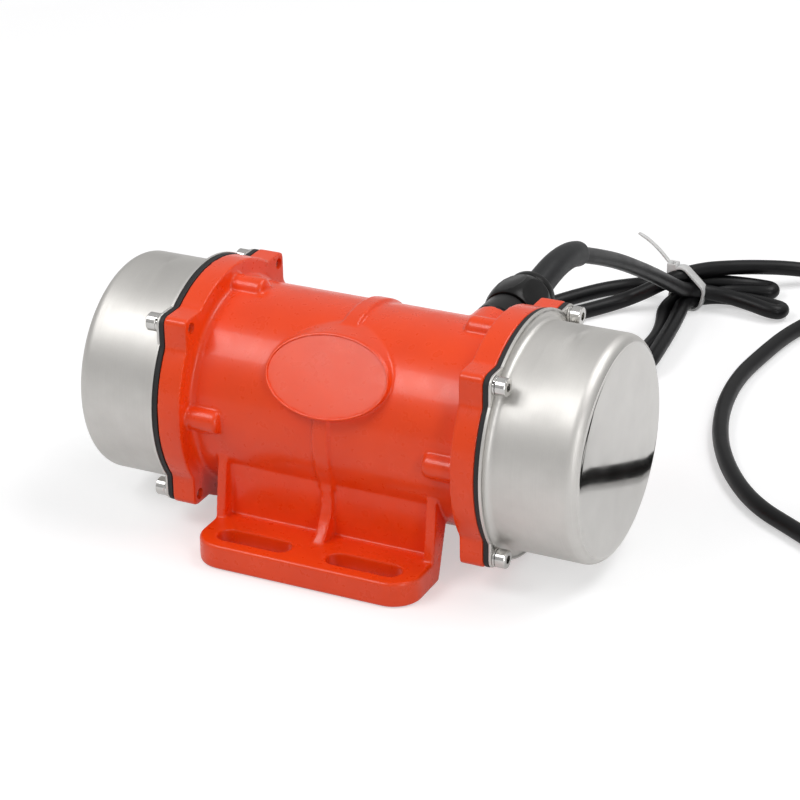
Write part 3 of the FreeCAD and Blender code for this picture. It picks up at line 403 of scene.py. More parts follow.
def arc_points(
    centre: Vector, u: Vector, v: Vector, radius: float, start: float, end: float, count: int
) -> list[Vector]:
    """Points on an arc.

    Args:
        centre: Its centre.
        u: Unit direction of angle zero.
        v: Unit direction of a quarter turn.
        radius: Its radius.
        start: First angle in degrees.
        end: Last angle in degrees.
        count: Number of points.

    Returns:
        The points, both ends among them.
    """
    points = []
    for step in range(count):
        angle = math.radians(start + (end - start) * step / (count - 1))
        points.append(centre + u * (radius * math.cos(angle)) + v * (radius * math.sin(angle)))
    return points


def lofted(name: str, rings: list[list[Vector]]) -> Piece:
    """Closed skin through rings of equal counts, with a cap at each end.

    Args:
        name: Name of the piece.
        rings: Points of each ring in millimetres.

    Returns:
        The new mesh object, its faces outwards.
    """
    mesh = bpy.data.meshes.new(name)
    shape = bmesh.new()
    loops = [[shape.verts.new(point * MM) for point in ring] for ring in rings]
    for low, high in zip(loops, loops[1:]):
        for i, vertex in enumerate(low):
            j = (i + 1) % len(low)
            shape.faces.new((vertex, low[j], high[j], high[i]))
    shape.faces.new(loops[0])
    shape.faces.new(loops[-1])
    bmesh.ops.recalc_face_normals(shape, faces=shape.faces)
    shape.to_mesh(mesh)
    shape.free()
    return placed(name, mesh)


# Finishes


class Nodes:
    """Node tree of a material or of the surroundings, built step by step."""

    def __init__(self, owner: bpy.types.ID) -> None:
        """Start with an empty tree.

        Args:
            owner: The material or world that holds the tree.
        """
        owner.use_nodes = True
        self.tree = owner.node_tree
        self.tree.nodes.clear()

    def feed(self, socket: Socket, value: object) -> None:
        """Set a socket.

        Args:
            socket: An input of a node.
            value: A constant, or the output of another node.
        """
        if isinstance(value, Socket):
            self.tree.links.new(value, socket)
        else:
            socket.default_value = value

    def node(self, kind: str, inputs: dict[str | int, object], **options: object) -> bpy.types.Node:
        """Add one node.

        Args:
            kind: Blender's name of its type, after ShaderNode.
            inputs: Constants or outputs for its sockets, by name or number.
            options: Its own settings.

        Returns:
            The new node.
        """
        node = self.tree.nodes.new(f"ShaderNode{kind}")
        for key, value in options.items():
            setattr(node, key, value)
        for key, value in inputs.items():
            self.feed(node.inputs[key], value)
        return node

    def spread(self, value: Socket, low: float, high: float, start: float = 0.3, end: float = 0.7) -> Socket:
        """Map a value from the range start to end onto low to high."""
        ranges = {"From Min": start, "From Max": end, "To Min": low, "To Max": high}
        return self.node("MapRange", {"Value": value, **ranges}).outputs["Result"]

    def math(self, how: str, first: object, second: object = 0.0) -> Socket:
        """One arithmetic step on values or sockets."""
        return self.node("Math", {0: first, 1: second}, operation=how).outputs[0]

    def ray(self, kind: str) -> Socket:
        """One for rays of a kind, such as Camera, and nought for others."""
        return self.node("LightPath", {}).outputs[f"Is {kind} Ray"]


class Recipe(Nodes):
    """Node tree of one finish, round a principled shader."""

    def __init__(self, name: str) -> None:
        """Start a material with its shader and its object coordinates.

        Args:
            name: Name of the material.
        """
        self.material = bpy.data.materials.new(name)
        super().__init__(self.material)
        self.shader = self.node("BsdfPrincipled", {})
        self.node("OutputMaterial", {"Surface": self.shader.outputs["BSDF"]})
        self.place = self.node("TexCoord", {}).outputs["Object"]

    def set(self, **values: object) -> None:
        """Set or feed the shader's own sockets, named with underscores for spaces."""
        for key, value in values.items():
            self.feed(self.shader.inputs[key.replace("_", " ")], value)

    def stretched(self, scale: Triple) -> Socket:
        """Object coordinates scaled apart along the axes."""
        return self.node("Mapping", {"Vector": self.place, "Scale": scale}).outputs["Vector"]

    def noise(
        self, scale: float, detail: float = 3.0, roughness: float = 0.5, where: Socket | None = None
    ) -> Socket:
        """Fractal noise.

        Args:
            scale: Grains per metre.
            detail: Octaves.
            roughness: Weight of the finer octaves.
            where: Coordinates, or the object's own when left out.

        Returns:
            The grey value.
        """
        inputs = {"Vector": where or self.place, "Scale": scale, "Detail": detail, "Roughness": roughness}
        return self.node("TexNoise", inputs).outputs["Fac"]

    def blend(self, share: Socket, first: object, second: object) -> Socket:
        """Mix two colours, given as triples or sockets, by a share."""
        ends = {key: (*c, 1.0) if isinstance(c, tuple) else c for key, c in ((6, first), (7, second))}
        return self.node("Mix", {0: share, **ends}, data_type="RGBA").outputs[2]

    def bump(
        self, height: Socket, depth: float, strength: float = 1.0, under: Socket | None = None
    ) -> Socket:
        """Relief of the surface.

        Args:
            height: Grey value that lifts the surface.
            depth: Full height in millimetres.
            strength: Share of it that shows.
            under: Normal of a coarser relief below this one.

        Returns:
            The new normal.
        """
        inputs = {"Strength": strength, "Distance": depth * MM, "Height": height}
        if under is not None:
            inputs["Normal"] = under
        return self.node("Bump", inputs).outputs["Normal"]

    def edges(self, low: float, high: float) -> Socket:
        """Value that rises from hollows to edges of a fine mesh."""
        return self.spread(self.node("NewGeometry", {}).outputs["Pointiness"], 0.0, 1.0, low, high)

    def along_x(self) -> Socket:
        """Distance from the middle along the shaft, in metres."""
        return self.math("ABSOLUTE", self.node("SeparateXYZ", {"Vector": self.place}).outputs["X"])


def toned(colour: Triple, share: float) -> Triple:
    """Colour with each part multiplied by a share, at most white."""
    return tuple(min(1.0, part * share) for part in colour)


class Finish:
    """Look of a material slot."""

    def make(self, name: str) -> bpy.types.Material:
        """Build the material.

        Args:
            name: Name of the slot.

        Returns:
            The material.
        """
        recipe = Recipe(name)
        self.mix(recipe)
        return recipe.material

    def mix(self, recipe: Recipe) -> None:
        """Set the shader of a new material."""
        raise NotImplementedError


@dataclass(frozen=True)
class PowderPaint(Finish):
    """Glossy powder paint over a casting, with painted shade in its hollows."""

    colour: Triple = (0.95, 0.068, 0.005)
    shade: Triple = (0.72, 0.036, 0.003)
    gloss: float = 0.29
    # Pointiness range over which the painted shade in the hollows fades into the paint colour
    hollows: Pair = (0.42, 0.485)

    def mix(self, recipe: Recipe) -> None:
        """Set the shader of a new material.

        Args:
            recipe: Nodes of the material.
        """
        cloud = recipe.spread(recipe.noise(38.0, 2.0), 0.0, 0.35)
        base = recipe.blend(cloud, self.colour, self.shade)
        lumps = recipe.bump(recipe.noise(120.0, 2.0), 0.4, 0.12)
        peel = recipe.bump(recipe.noise(900.0, 2.0), 0.04, 0.25, lumps)
        recipe.set(
            # Painted shade: the mesh's hollows take the darker shade colour, as if in shadow
            Base_Color=recipe.blend(recipe.edges(*self.hollows), self.shade, base),
            Roughness=recipe.spread(recipe.noise(260.0, 3.0), self.gloss - 0.04, self.gloss + 0.08),
            Normal=recipe.bump(recipe.noise(2600.0, 1.0), 0.02, 0.3, peel),
            Coat_Weight=0.2,
            Coat_Roughness=0.10,
            IOR=1.5,
            Specular_IOR_Level=0.38,
        )


@dataclass(frozen=True)
class DrawnStainless(Finish):
    """Drawn sheet: satin wall with fine rings, and a flat end close to a mirror."""

    colour: Triple = (0.64, 0.625, 0.60)
    wall: float = 0.48
    end: float = 0.075
    end_x: float = 101.2
    ring_grain: Triple = (2600.0, 26.0, 26.0)

    def mix(self, recipe: Recipe) -> None:
        """Set the shader of a new material.

        Args:
            recipe: Nodes of the material.
        """
        flat = recipe.spread(recipe.along_x(), 0.0, 1.0, (self.end_x - 0.5) * MM, self.end_x * MM)
        rings = recipe.noise(1.0, 4.0, 0.7, recipe.stretched(self.ring_grain))
        stains = recipe.noise(70.0, 4.0, 0.6)
        dull = recipe.spread(rings, self.wall - 0.05, self.wall + 0.07)
        dull = recipe.math("ADD", dull, recipe.spread(stains, -0.03, 0.04))
        clear = recipe.spread(stains, self.end - 0.02, self.end + 0.035)
        share = recipe.math("MULTIPLY", recipe.math("SUBTRACT", clear, dull), flat)
        drawn = recipe.math("MULTIPLY", rings, recipe.math("SUBTRACT", 1.0, flat))
        wavy = recipe.bump(recipe.noise(34.0, 1.0), 0.12, 0.22)
        recipe.set(
            Roughness=recipe.math("ADD", dull, share),
            Base_Color=recipe.blend(recipe.spread(stains, 0.0, 1.0), self.colour, toned(self.colour, 0.93)),
            Normal=recipe.bump(drawn, 0.008, 0.15, wavy),
            Metallic=1.0,
            Anisotropic=0.25,
        )


@dataclass(frozen=True)
class Metal(Finish):
    """Bare or plated metal with a grain."""

    colour: Triple
    roughness: float
    grain: float = 900.0
    depth: float = 0.02
    stretch: Triple = (1.0, 1.0, 1.0)
    tarnish: float = 0.82

    def mix(self, recipe: Recipe) -> None:
        """Set the shader of a new material.

        Args:
            recipe: Nodes of the material.
        """
        grain = recipe.noise(self.grain, 3.0, 0.6, recipe.stretched(self.stretch))
        patches = recipe.spread(recipe.noise(150.0, 3.0), 0.0, 1.0)
        recipe.set(
            Base_Color=recipe.blend(patches, self.colour, toned(self.colour, self.tarnish)),
            Roughness=recipe.spread(grain, self.roughness * 0.8, self.roughness * 1.25),
            Normal=recipe.bump(grain, self.depth, 0.5),
            Metallic=1.0,
        )


@dataclass(frozen=True)
class Moulded(Finish):
    """Plastic or rubber with a fine moulded skin."""

    colour: Triple
    roughness: float
    grain: float = 1500.0
    depth: float = 0.03
    bloom: float = 1.6
    coat: float = 0.0
    clear: float = 0.0
    sheen: float = 0.5

    def mix(self, recipe: Recipe) -> None:
        """Set the shader of a new material.

        Args:
            recipe: Nodes of the material.
        """
        skin = recipe.noise(self.grain, 2.0)
        dust = recipe.noise(85.0, 4.0, 0.6)
        dusty = recipe.spread(dust, 0.0, 1.0, 0.42, 0.75)
        recipe.set(
            Base_Color=recipe.blend(dusty, self.colour, toned(self.colour, self.bloom)),
            Roughness=recipe.spread(dust, self.roughness * 0.85, self.roughness * 1.15),
            Normal=recipe.bump(skin, self.depth, 0.35, recipe.bump(dust, 0.15, 0.12)),
            Coat_Weight=self.coat,
            Coat_Roughness=0.25,
            Transmission_Weight=self.clear,
            IOR=1.5,
            Specular_IOR_Level=self.sheen,
        )


@dataclass(frozen=True)
class Sheets(Finish):
    """Stack of electrical sheets seen edge on."""

    colour: Triple = (0.20, 0.20, 0.21)
    layer_grain: Triple = (1400.0, 4.0, 4.0)

    def mix(self, recipe: Recipe) -> None:
        """Set the shader of a new material.

        Args:
            recipe: Nodes of the material.
        """
        layers = recipe.noise(1.0, 1.0, 0.5, recipe.stretched(self.layer_grain))
        recipe.set(
            Base_Color=recipe.blend(recipe.spread(layers, 0.0, 1.0), self.colour, toned(self.colour, 0.45)),
            Roughness=recipe.spread(layers, 0.45, 0.65),
            Normal=recipe.bump(layers, 0.15, 0.6),
            Metallic=0.9,
        )


@dataclass(frozen=True)
class EnamelWire(Finish):
    """Bound turns of enamelled copper wire."""

    colour: Triple = (0.46, 0.13, 0.035)

    def mix(self, recipe: Recipe) -> None:
        """Set the shader of a new material.

        Args:
            recipe: Nodes of the material.
        """
        inputs = {"Scale": 420.0, "Distortion": 2.5, "Detail": 2.0, "Vector": recipe.place}
        turns = recipe.node("TexWave", inputs).outputs["Fac"]
        recipe.set(
            Base_Color=recipe.blend(turns, toned(self.colour, 0.35), self.colour),
            Roughness=recipe.spread(turns, 0.45, 0.25),
            Normal=recipe.bump(turns, 0.35, 0.8),
            Metallic=0.6,
            Coat_Weight=0.5,
            Coat_Roughness=0.2,
        )


FINISHES: dict[str, Finish] = {
    "vermilion_paint": PowderPaint(),
    "cover_stainless": DrawnStainless(),
    "bright_steel": Metal((0.66, 0.65, 0.63), 0.17, 700.0, 0.01),
    "gasket_rubber": Moulded((0.007, 0.007, 0.008), 0.6, 1200.0, 0.05),
    "gland_nylon": Moulded((0.004, 0.004, 0.004), 0.32, 2200.0, 0.02, sheen=0.22),
    "sleeve_rubber": Moulded((0.007, 0.0075, 0.0085), 0.46, 1600.0, 0.015, sheen=0.36),
    "cable_sheath": Moulded((0.0035, 0.0035, 0.004), 0.39, 1400.0, 0.012, 1.5, sheen=0.24),
    "tie_nylon": Moulded((0.86, 0.86, 0.85), 0.40, 900.0, 0.02, 1.06, 0.1, 0.3),
    "plug_moulding": Moulded((0.016, 0.016, 0.017), 0.42, 1800.0, 0.05),
    "pin_brass": Metal((0.72, 0.66, 0.52), 0.2, 800.0, 0.01),
    "lamination_steel": Sheets(),
    "copper_winding": EnamelWire(),
    "core_insulation": Moulded((0.10, 0.035, 0.012), 0.35),
    "shield_casting": Metal((0.22, 0.22, 0.225), 0.5, 420.0, 0.12, (1.0, 1.0, 1.0), 0.6),
    "bearing_steel": Metal((0.60, 0.60, 0.61), 0.12, 1500.0, 0.005),
    "cage_nylon": Moulded((0.30, 0.17, 0.07), 0.45),
    "spring_steel": Metal((0.10, 0.10, 0.11), 0.42, 900.0, 0.02),
    "shaft_steel": Metal((0.50, 0.50, 0.50), 0.25, 1.0, 0.01, (2400.0, 40.0, 40.0)),
    "cage_aluminium": Metal((0.68, 0.68, 0.70), 0.4, 500.0, 0.05),
    "weight_steel": Metal((0.26, 0.26, 0.27), 0.4, 350.0, 0.08, (1.0, 1.0, 1.0), 0.55),
    "scale_aluminium": Metal((0.72, 0.72, 0.73), 0.28, 1.0, 0.01, (20.0, 1800.0, 20.0)),
    "black_bolt": Metal((0.045, 0.045, 0.05), 0.38, 900.0, 0.02),
}


class Paintbox:
    """The finished materials by slot, made once each."""

    def __init__(self) -> None:
        """Make every material."""
        self.materials = {slot: finish.make(slot) for slot, finish in FINISHES.items()}

    def coat(self, piece: Piece, slot: str) -> None:
        """Give a piece one material alone."""
        piece.data.materials.clear()
        piece.data.materials.append(self.materials[slot])

    def dress(self, piece: Piece, slot: str, *nodes: str) -> Piece:
        """Give a new piece its finish, the body it rides on and the nodes it stands for.

        Args:
            piece: The finished shape.
            slot: The record's material slot.
            nodes: The CAD nodes that it replaces.

        Returns:
            The same piece.
        """
        self.coat(piece, slot)
        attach(piece, FRAME_BODY)
        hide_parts(*nodes)
        LOG.info("%s: %s for %s", piece.name, slot, ", ".join(nodes))
        return piece

    def dress_nodes(self) -> None:
        """Give every CAD node the material of its slot."""
        slots = {row["node"]: row["material_slot"] for row in frame["record"]["subparts"]}
        for name, node in frame["nodes"].items():
            self.coat(node, slots[name])


# The motor


@dataclass
class Flange:
    """Round flange with four ears, as an outline."""

    circle_r: float = 46.2
    half: float = 38.0
    blend_r: float = 3.0
    arc_steps: int = 28
    blend_steps: int = 5
    corner_steps: int = 7

    def outline(self, x: float, corner_r: float, grow: float = 0.0) -> list[Vector]:
        """Corners of the outline in the plane x.

        Args:
            x: Place along the shaft.
            corner_r: Radius of the ears' corners.
            grow: How far it stands proud of the nominal outline.

        Returns:
            Points in order round the shaft.
        """
        circle_r, half = self.circle_r + grow, self.half + grow
        reach, offset = circle_r + self.blend_r, half + self.blend_r
        side = math.sqrt(reach**2 - offset**2)
        points = []
        for corner in range(4):
            turn = Matrix.Rotation(math.radians(90 * corner), 3, "X")
            u, v = turn @ Y_AXIS, turn @ Z_AXIS
            centre = SHAFT + X_AXIS * x
            ear = centre + (u + v) * (half - corner_r)
            lean = math.degrees(math.atan2(side, offset))
            into, out = centre + u * offset + v * side, centre + u * side + v * offset
            points += arc_points(into, -u, -v, self.blend_r, lean, 0.0, self.blend_steps)
            points += arc_points(ear, u, v, corner_r, 0.0, 90.0, self.corner_steps)
            points += arc_points(out, -v, -u, self.blend_r, 0.0, lean, self.blend_steps)
            points += arc_points(centre, u, v, circle_r, 90.0 - lean, 90.0 + lean, self.arc_steps)[1:-1]
        return points

    def plate(self, name: str, x0: float, x1: float, corner_r: float, grow: float = 0.0) -> Piece:
        """Plate of the outline between two planes."""
        return extruded(name, self.outline(x0, corner_r, grow), X_AXIS * (x1 - x0))


# Fillet between barrel and flange: distance before the flange and rise, as shares of its radius
ROOT_CURVE = ((1.0, 0.0), (0.4, 0.15), (0.15, 0.4), (0.0, 1.0))

# Foot sections as Y and Z in millimetres
FOOT_INNER = [(-34.0, 0.0), (-33.3, 2.9), (-30.2, 12.3), (-27.5, 20.5), (-24.0, 25.0)]
FOOT_END_RIB = [
    (-39.5, 9.0), (-39.5, 11.0), (-38.9, 15.5), (-38.2, 20.0), (-37.1, 28.0), (-35.6, 36.0),
    (-28.0, 40.0), (-27.5, 20.5), (-30.2, 12.3),
]
FOOT_CENTRE_RIB = [
    (-45.5, 9.0), (-44.1, 10.2), (-41.6, 12.2), (-39.6, 14.6), (-37.8, 16.9), (-36.6, 19.0),
    (-35.8, 22.5), (-35.7, 26.0), (-35.8, 30.0), (-36.2, 34.0), (-37.6, 40.5), (-39.0, 47.0),
    (-30.0, 47.0), (-30.0, 20.0), (-32.0, 9.0),
]


@dataclass
class Casting:
    """One casting: barrel, eared flanges, feet, bosses, oval pad and gland boss.

    The forms run into each other by the lap, and voxels melt them into one.
    """

    paint: Paintbox
    length: float = 128.4
    barrel_r: float = 38.5
    bore_r: float = 34.5
    recess_r: float = 42.4
    flange_t: float = 9.5
    corner_r: float = 2.6
    root_r: float = 2.5
    screw_half: float = 34.0
    hole_r: float = 2.2
    hole_depth: float = 12.5
    lap: float = 1.0
    band_w: float = 6.4
    band_h: float = 1.3
    boss_r: float = 4.8
    boss_length: float = 13.3
    boss_circle_r: float = 37.9
    boss_end_share: float = 0.45
    foot_half: float = 45.0
    foot_edge_y: float = 60.0
    foot_inner_y: float = 34.0
    foot_t: float = 10.0
    foot_corner_r: float = 11.0
    foot_edge_r: float = 1.1
    slot_x: float = 22.5
    slot_y: float = 50.4
    slot_r: float = 4.5
    slot_straight: float = 10.5
    rib_t: float = 4.0
    centre_rib_t: float = 4.4
    pad_half: Pair = (24.7, 16.1)
    pad_distance: float = 41.0
    pad_tilt: float = 36.5
    pad_depth: float = 21.0
    pad_steps: int = 160
    lip_w: float = 0.95
    lip_h: float = 0.42
    lip_inset: float = 0.1
    lip_depth: float = 1.2
    lip_edge_r: float = 0.22
    gland: Pair = (41.8, 77.5)
    gland_boss_r: float = 9.5
    gland_face_y: float = 21.0
    seat_r: float = 9.8
    seat_bore_r: float = 8.0
    seat_reach: Pair = (15.0, 68.0)
    voxel: float = 0.55
    quick_voxel: float = 0.9
    most_faces: int = 185000

    def face_x(self) -> float:
        """Outer face of the right-hand flange."""
        return self.length / 2

    def at(self, x: float, y: float, z: float) -> Vector:
        """Point by its place along the shaft and offsets from the shaft line."""
        return SHAFT + Vector((x, y, z))

    def barrel(self) -> list[Piece]:
        """Barrel with its raised band.

        Returns:
            The two rods.
        """
        reach, half_band = self.face_x() - self.lap, self.band_w / 2
        forms = (("barrel", reach, self.barrel_r), ("band", half_band, self.barrel_r + self.band_h))
        return [rod(name, self.at(-x, 0, 0), self.at(x, 0, 0), r, 256) for name, x, r in forms]

    def right_end(self) -> list[Piece]:
        """Flange, its root and the four shield bosses of the right-hand end.

        Returns:
            The forms, the bosses last.
        """
        inner = self.face_x() - self.flange_t
        low = self.barrel_r
        curve = [(inner - self.root_r * x, low + self.root_r * r) for x, r in ROOT_CURVE]
        profile = [(inner - self.root_r, low - 2 * self.lap), *curve, (inner + self.lap, low - 2 * self.lap)]
        root = spun("root", profile, SHAFT, X_AXIS, 192)
        pieces = [Flange().plate("flange", inner, self.face_x(), self.corner_r), root]
        end_r = self.boss_r * self.boss_end_share
        profile = [(0.0, 0.0), (0.0, self.boss_r - end_r)]
        profile += [(end_r * (1 - c), self.boss_r - end_r * (1 - s)) for c, s in quarter(6, 1)]
        profile += [(self.boss_length + self.lap, self.boss_r), (self.boss_length + self.lap, 0.0)]
        start = self.at(inner - self.boss_length, 0, self.boss_circle_r)
        boss = spun("boss", profile, start, X_AXIS, 48)
        return pieces + [copied(boss, "boss", about_shaft(90 * turn)) for turn in range(1, 4)] + [boss]

    def foot(self) -> list[Piece]:
        """Near foot: slotted plate, slanted inner wall, end ribs and centre rib.

        Returns:
            The forms, the plate first.
        """
        half, edge, r = self.foot_half, -self.foot_edge_y, self.foot_corner_r
        corners = [Vector((half, -self.foot_inner_y, 0)), Vector((-half, -self.foot_inner_y, 0))]
        corners += arc_points(Vector((r - half, edge + r, 0)), -X_AXIS, -Y_AXIS, r, 0, 90, 12)
        corners += arc_points(Vector((half - r, edge + r, 0)), -Y_AXIS, X_AXIS, r, 0, 90, 12)
        plate = rounded(extruded("plate", corners, Z_AXIS * self.foot_t), self.foot_edge_r, 4, 50.0)
        slots, straight = [], X_AXIS * self.slot_straight
        for x in (-self.slot_x, self.slot_x):
            middle = Vector((x, -self.slot_y, -self.lap))
            ends = arc_points(middle + straight, -Y_AXIS, X_AXIS, self.slot_r, 0, 180, 20)
            ends += arc_points(middle - straight, Y_AXIS, -X_AXIS, self.slot_r, 0, 180, 20)
            slots.append(extruded("slot", ends, Z_AXIS * (self.foot_t + 2 * self.lap)))
        combined(plate, slots, Join.CUT)
        wall_top = SHAFT.z - math.sqrt(self.barrel_r**2 - self.foot_inner_y**2) + self.lap
        wall = FOOT_INNER + [(-30.0, 33.0), (-self.foot_inner_y, wall_top)]
        half_rib = self.centre_rib_t / 2
        forms = (
            ("wall", wall, -half, half),
            ("rib_right", FOOT_END_RIB, half - self.rib_t, half),
            ("rib_left", FOOT_END_RIB, -half, self.rib_t - half),
            ("rib_centre", FOOT_CENTRE_RIB, -half_rib, half_rib),
        )
        return [plate] + [
            extruded(name, [Vector((x0, y, z)) for y, z in shape], X_AXIS * (x1 - x0))
            for name, shape, x0, x1 in forms
        ]

    def oval(self, shrink: float, lift: float) -> list[Vector]:
        """Oval in the pad's plane.

        Args:
            shrink: How far it is drawn in from the pad's outline.
            lift: Height over the top of the pad's lip.

        Returns:
            Points in order.
        """
        tilt = math.radians(self.pad_tilt)
        normal = Vector((0, -math.cos(tilt), math.sin(tilt)))
        up = Vector((0, math.sin(tilt), math.cos(tilt)))
        centre = SHAFT + normal * (self.pad_distance + lift)
        a, b = self.pad_half[0] - shrink, self.pad_half[1] - shrink
        angles = [FULL_TURN * step / self.pad_steps for step in range(self.pad_steps)]
        return [centre + X_AXIS * (a * math.cos(angle)) + up * (b * math.sin(angle)) for angle in angles]

    def lip(self) -> Piece:
        """Thin lip that stands round the pad's face.

        Returns:
            The lip, rounded.
        """
        tilt = math.radians(self.pad_tilt)
        inward = Vector((0, math.cos(tilt), -math.sin(tilt)))
        lip = extruded("lip", self.oval(self.lip_inset, 0.0), inward * self.lip_depth)
        hollow = extruded("hollow", self.oval(self.lip_w, self.lap), inward * (4 * self.lap))
        combined(lip, [hollow], Join.CUT)
        return smooth(rounded(lip, self.lip_edge_r, degrees=50.0), 60.0)

    def bored(self) -> Piece:
        """Tool that machines the bore, both recesses and the screw holes.

        Returns:
            The tool, as one object of closed shells.
        """
        face, inner = self.face_x(), self.face_x() - self.flange_t
        low, high = self.bore_r, self.recess_r
        half = [(inner, low), (inner, high), (face + self.lap, high), (face + self.lap, 0.0)]
        profile = [(-x, r) for x, r in half[::-1]] + half
        tools = [spun("bore", profile, SHAFT, X_AXIS, 192)]
        for end in (-1, 1):
            for y, z in four_corners(self.screw_half):
                start = self.at(end * (face - self.hole_depth), y, z)
                tools.append(rod("hole", start, self.at(end * (face + self.lap), y, z), self.hole_r, 32))
        return grouped("machining", tools)

    def seat(self) -> Piece:
        """Tool that machines the seat of the gland and the cable's way in.

        Returns:
            The tool.
        """
        start, end = self.seat_reach
        profile = [(start, 0.0), (start, self.seat_bore_r), (self.gland_face_y, self.seat_bore_r)]
        profile += [(self.gland_face_y, self.seat_r), (end, self.seat_r), (end, 0.0)]
        return spun("seat", profile, Vector((self.gland[0], 0.0, self.gland[1])), Y_AXIS, 96)

    def build(self) -> Piece:
        """Cast the solid forms together, soften them as a casting and machine the holes.

        Returns:
            The dressed casting.
        """
        gx, gz = self.gland
        right = self.right_end()
        near = self.foot()
        start, end = Vector((gx, -2 * self.lap, gz)), Vector((gx, self.gland_face_y, gz))
        boss = rod("gland_boss", start, end, self.gland_boss_r, 96)
        pad = extruded("pad", self.oval(0.0, -self.lip_h), Y_AXIS * self.pad_depth)
        forms = self.barrel() + right + near + [pad, boss]
        forms += [mirrored(form, form.name) for form in right]
        forms += [copied(form, form.name, Matrix.Scale(-1, 4, Y_AXIS)) for form in near]
        casting = grouped("housing_casting", forms)
        voxel, passes = ((self.voxel, 5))
        applied(casting, "REMESH", mode="VOXEL", voxel_size=voxel * MM)
        applied(casting, "SMOOTH", factor=0.5, iterations=passes)
        triangles = sum(len(face.vertices) - 2 for face in casting.data.polygons)
        if triangles > self.most_faces:
            applied(casting, "DECIMATE", ratio=self.most_faces / triangles)
        combined(casting, [self.bored(), self.seat()], Join.CUT)
        LOG.info("casting: %d faces", len(casting.data.polygons))
        casting = grouped("housing_casting", [smooth(casting, 38.0), self.lip()])
        return self.paint.dress(casting, "vermilion_paint", "housing")


@dataclass
class EndCover:
    """Pressed sheet cover with its gasket, right-hand end first."""

    paint: Paintbox
    face_x: float = 64.2
    gasket_t: float = 2.0
    gasket_bore_r: float = 42.0
    gasket_swell: float = 0.1
    sheet: float = 1.0
    wall_r: float = 42.5
    depth: float = 35.3
    edge_r: float = 5.0
    neck_r: float = 2.6
    rim_w: float = 1.5
    rim_edge_r: float = 0.28
    gasket_edge_r: float = 0.35
    corner_r: float = 4.0
    arc_steps: int = 40
    lap: float = 1.0
    disc_rings: tuple[float, ...] = (30.0, 15.0, 0.0)

    def profile(self) -> list[Pair]:
        """Closed section of the cup, as distance along the shaft and radius.

        Returns:
            Corners of the section in order.
        """
        start = self.face_x + self.gasket_t
        front, end = start + self.sheet, start + self.depth
        wall, inner = self.wall_r, self.edge_r - self.sheet
        rim = wall + self.neck_r + self.rim_w
        neck = [(front + self.neck_r * (1 - c), wall + self.neck_r * (1 - s)) for c, s in quarter(6)]
        outer = [(end - self.edge_r * (1 - s), wall - self.edge_r * (1 - c)) for c, s in quarter(12)]
        disc = [(end, r) for r in self.disc_rings] + [(end - self.sheet, 0.0)]
        inside = [(end - self.edge_r + inner * s, wall - self.edge_r + inner * c) for c, s in quarter(12)]
        return neck + outer + disc + inside[::-1] + [(start, wall - self.sheet), (start, rim), (front, rim)]

    def ring(
        self, name: str, x: float, thickness: float, bore_r: float, sides: int, grow: float = 0.0
    ) -> Piece:
        """Eared plate with a round hole.

        Args:
            name: Name of the piece.
            x: Its inner plane.
            thickness: How far it reaches along the shaft.
            bore_r: Radius of the hole.
            sides: Facets round the hole.
            grow: How far it stands proud of the flange's outline.

        Returns:
            The plate.
        """
        plate = Flange(arc_steps=self.arc_steps).plate(name, x, x + thickness, self.corner_r, grow)
        start, end = SHAFT + X_AXIS * (x - self.lap), SHAFT + X_AXIS * (x + thickness + self.lap)
        return combined(plate, [rod("hole", start, end, bore_r, sides)], Join.CUT)

    def shell(self) -> Piece:
        """Cup and eared rim of one cover.

        Returns:
            The right-hand shell.
        """
        cup = spun("cup", self.profile(), SHAFT, X_AXIS, 192)
        rim = self.ring("rim", self.face_x + self.gasket_t, self.sheet, self.wall_r + self.neck_r, 192)
        rounded(rim, self.rim_edge_r)
        return smooth(grouped("end_cover_shell_right", [cup, rim]), 32.0)

    def gasket(self) -> Piece:
        """Rubber gasket, a little proud of the flange and rounded at its edge.

        Returns:
            The right-hand gasket.
        """
        name = "cover_gasket_ring_right"
        ring = self.ring(name, self.face_x, self.gasket_t, self.gasket_bore_r, 128, self.gasket_swell)
        return smooth(rounded(ring, self.gasket_edge_r), 40.0)

    def build(self) -> None:
        """Both covers and both gaskets."""
        for make, slot, node in (
            (self.shell, "cover_stainless", "end_cover"),
            (self.gasket, "gasket_rubber", "cover_gasket"),
        ):
            right = make()
            left = mirrored(right, right.name.replace(Side.RIGHT.value, Side.LEFT.value))
            for piece, side in ((right, Side.RIGHT), (left, Side.LEFT)):
                self.paint.dress(piece, slot, f"{node}_{side.value}")


# Head of a cover screw: distance from its seat and radius
SCREW_HEAD = [(0.0, 3.35), (0.15, 3.5), (3.6, 3.5), (3.88, 3.28), (4.0, 2.9), (4.0, 0.0)]


